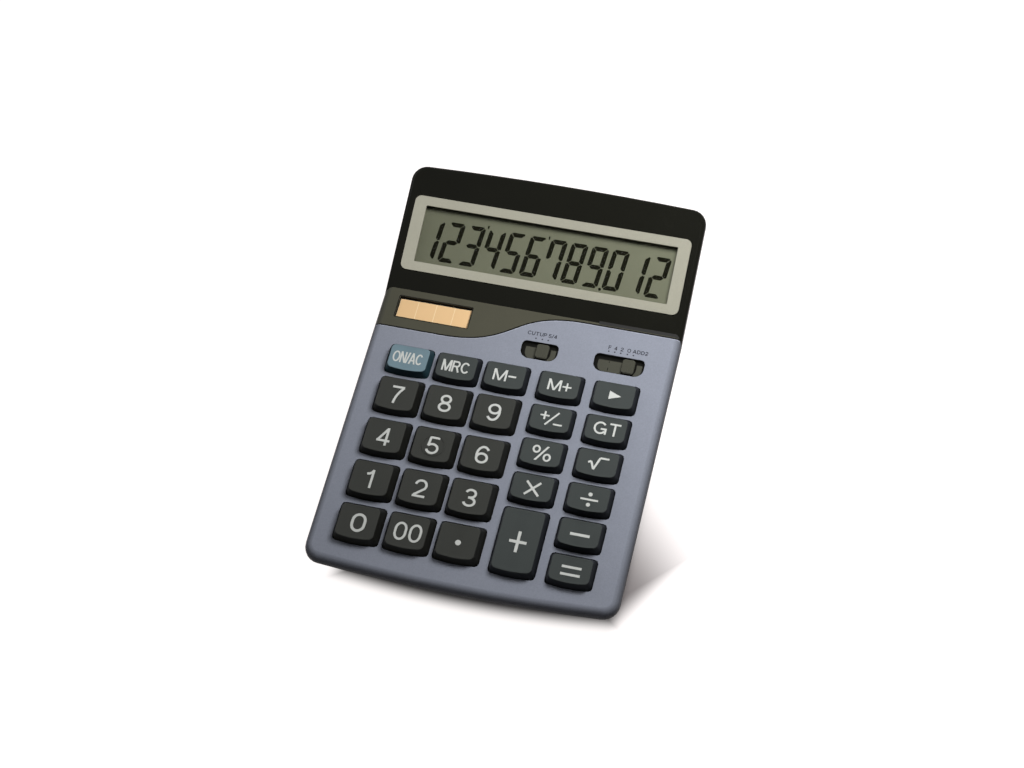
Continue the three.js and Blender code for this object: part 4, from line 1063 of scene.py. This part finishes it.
def make_seam():
    """The seam between panel and case as a line of painted shade, with a painted highlight on its
    lip:
    level, an S-curve, level again.

    The curve is a cubic Bezier whose handles are level, so it joins the level runs smoothly.
    """
    span = SEAM_END[0] - SEAM_START[0]
    curve = np.array([SEAM_START, (SEAM_START[0] + SEAM_REACH * span, SEAM_START[1]),
                      (SEAM_END[0] - SEAM_REACH * span, SEAM_END[1]), SEAM_END])
    before, along, after = SEAM_STEPS
    s = np.linspace(0, 1, along)[:, None]
    weights = np.concatenate([(1 - s) ** 3, 3 * s * (1 - s) ** 2, 3 * s ** 2 * (1 - s), s ** 3], -1)
    left = level_run(-SEAM_SIDE, *SEAM_START, before)
    right = level_run(SEAM_END[0], SEAM_SIDE, SEAM_END[1], after)
    line = np.concatenate([left[:-1], weights @ curve, right[1:]])
    run = np.gradient(line, axis=0)
    run = run / np.hypot(*run.T)[:, None]
    across = np.column_stack([run[:, 1], -run[:, 0]])
    for name, (offset, width, material) in SEAM_BANDS.items():
        solid = ribbon(line + across * offset, width, over_the_edge, INK_RISE)
        face_piece(f"panel_{name}", solid, material, "base", "blue_case")
    gap = level_run(SEAM_END[0] + GAP_START, SEAM_SIDE, SEAM_END[1] + GAP_UP, after)
    solid = ribbon(gap, GAP_WIDTH, over_the_edge, INK_RISE + INK_STEP)
    face_piece("panel_gap", solid, panel_gap_shade, "base", "grey_panel")


def aimed(at, aim, roll=0.0):
    """Matrix of a camera or lamp that stands at one place and looks at another."""
    look = (Vector(aim) - Vector(at)).to_track_quat("-Z", "Y").to_matrix()
    turn = look @ Matrix.Rotation(math.radians(roll), 3, "Z")
    return Matrix.Translation(at) @ turn.to_4x4()


def make_camera():
    """The camera at the photograph's viewing angle."""
    data = bpy.data.cameras.new("camera")
    data.sensor_width = SENSOR_WIDTH
    data.lens = CAMERA_LENS
    data.clip_start = CAMERA_NEAR
    scene.camera = linked("camera", data)
    scene.camera.matrix_world = aimed(CAMERA_AT, CAMERA_AIM, CAMERA_ROLL)


def seen_white(tree):
    """1 for the rays that show the white background: from the camera, glossy or through glass."""
    rays = add(tree, "LightPath").outputs
    seen = rays["Is Camera Ray"]
    for kind in ("Is Glossy Ray", "Is Transmission Ray"):
        seen = calc(tree, "MAXIMUM", seen, rays[kind])
    return seen


def floor_glow(tree):
    """Strength of the floor's glow: full, but for a painted shadow beside and in front of the
    object.

    The area is fitted to the photograph's shadow, and doesn't follow from the lamps. The glow rises
    across the front edge, whose line is bowed like the case, to the left, along a line that leans
    back from the front right corner, and more slowly towards the back.
    """
    place = add(tree, "TexCoord").outputs["Object"]
    axes = add(tree, "SeparateXYZ", {"Vector": place})
    x, y = axes.outputs["X"], axes.outputs["Y"]
    square = calc(tree, "MULTIPLY", x, x)
    shares = [
        ramp(tree, calc(tree, "MULTIPLY_ADD", square, -FRONT_CURVE, y), *FRONT_RISE),
        ramp(tree, calc(tree, "MULTIPLY_ADD", x, BACK_LEAN, y), *BACK_RISE),
        ramp(tree, calc(tree, "MULTIPLY_ADD", y, EDGE_LEAN, x), *EDGE_RISE),
        ramp(tree, x, *LEFT_RISE),
    ]
    most = shares[0]
    for share in shares[1:]:
        most = calc(tree, "MAXIMUM", most, share)
    return calc(tree, "MULTIPLY", most, FLOOR_GLOW)


def soft_lamp(name, at, size, power, shines):
    """A square softbox that the camera doesn't see, aimed at LAMP_AIM."""
    data = bpy.data.lights.new(name, "AREA")
    data.shape = "RECTANGLE"
    data.size = data.size_y = size
    data.energy = power
    lamp = linked(name, data)
    lamp.visible_camera = False
    lamp.visible_glossy = shines
    lamp.matrix_world = aimed(at, LAMP_AIM)


def make_floor():
    """A pale paper floor that also glows for the rays that show the white background."""
    signs = ((-1, -1), (1, -1), (1, 1), (-1, 1))
    mesh = bpy.data.meshes.new("floor")
    mesh.from_pydata([(x * FLOOR_HALF, y * FLOOR_HALF, 0) for x, y in signs], [], [(0, 1, 2, 3)])
    floor = linked("floor", mesh)
    material, tree = bare_material("matt_white_paper_sweep")
    diffuse = add(tree, "BsdfDiffuse", {"Color": linear(FLOOR_COLOUR)})
    glow = add(tree, "Emission", {"Color": FLOOR_TINT, "Strength": floor_glow(tree)})
    both = add(tree, "AddShader", {0: diffuse.outputs[0], 1: glow.outputs[0]})
    mix = add(tree, "MixShader", {
        "Fac": seen_white(tree), 1: diffuse.outputs[0], 2: both.outputs[0]})
    add(tree, "OutputMaterial", {"Surface": mix.outputs[0]})
    mesh.materials.append(material)


def make_studio():
    """A surround that shows white and gives a faint fill, and two soft lamps."""
    world = bpy.data.worlds.new("studio")
    world.use_nodes = True
    world.node_tree.nodes.clear()
    tree = world.node_tree
    strength = add(tree, "MapRange", {
        "Value": seen_white(tree), "To Min": FILL, "To Max": 1.0})
    back = add(tree, "Background", {
        "Color": (1, 1, 1, 1), "Strength": strength.outputs["Result"]})
    add(tree, "OutputWorld", {"Surface": back.outputs[0]})
    scene.world = world
    for lamp in LAMPS:
        soft_lamp(*lamp)


make_camera()
make_floor()
make_studio()
make_keys()
for shell_node, (shell_material, shell_slot, shell_body) in SHELLS.items():
    make_shell(shell_node, shell_material, shell_slot, shell_body)
make_cable()
make_display()
make_solar_cell()
for switch_node, (slot_middle, slot_width) in SLOTS.items():
    make_slot(switch_node, slot_middle, slot_width)
    make_knob(switch_node)
make_labels()
make_seam()

# Materials of the CAD nodes that stay as they are
CARRIED = (
    (cell_border_and_shade, ["solar_cell"]),
    (white_silicone, ["key_membrane"]),
    (board_mask, ["main_board", "display_board"]),
    (chip_resin, ["controller_chip"]),
    (dark_shell, ["battery_door"]),
    (window, ["display_lens"]),
    (lcd_glass, ["lcd_panel"]),
    (foot_rubber, ["capacitor", "contact_strip", "foot_left_front", "foot_right_front",
                   "foot_left_rear", "foot_right_rear"]),
    (plated_steel, ["battery_cell", "battery_contact_top", "battery_contact_side",
                    "hinge_pin_left", "hinge_pin_right", "case_screw_1", "case_screw_2",
                    "case_screw_3", "case_screw_4"]),
)
for carried_material, carried_nodes in CARRIED:
    for carried_node in carried_nodes:
        for material_slot in nodes[carried_node].material_slots:
            material_slot.material = carried_material

scene.view_settings.view_transform = "Standard"
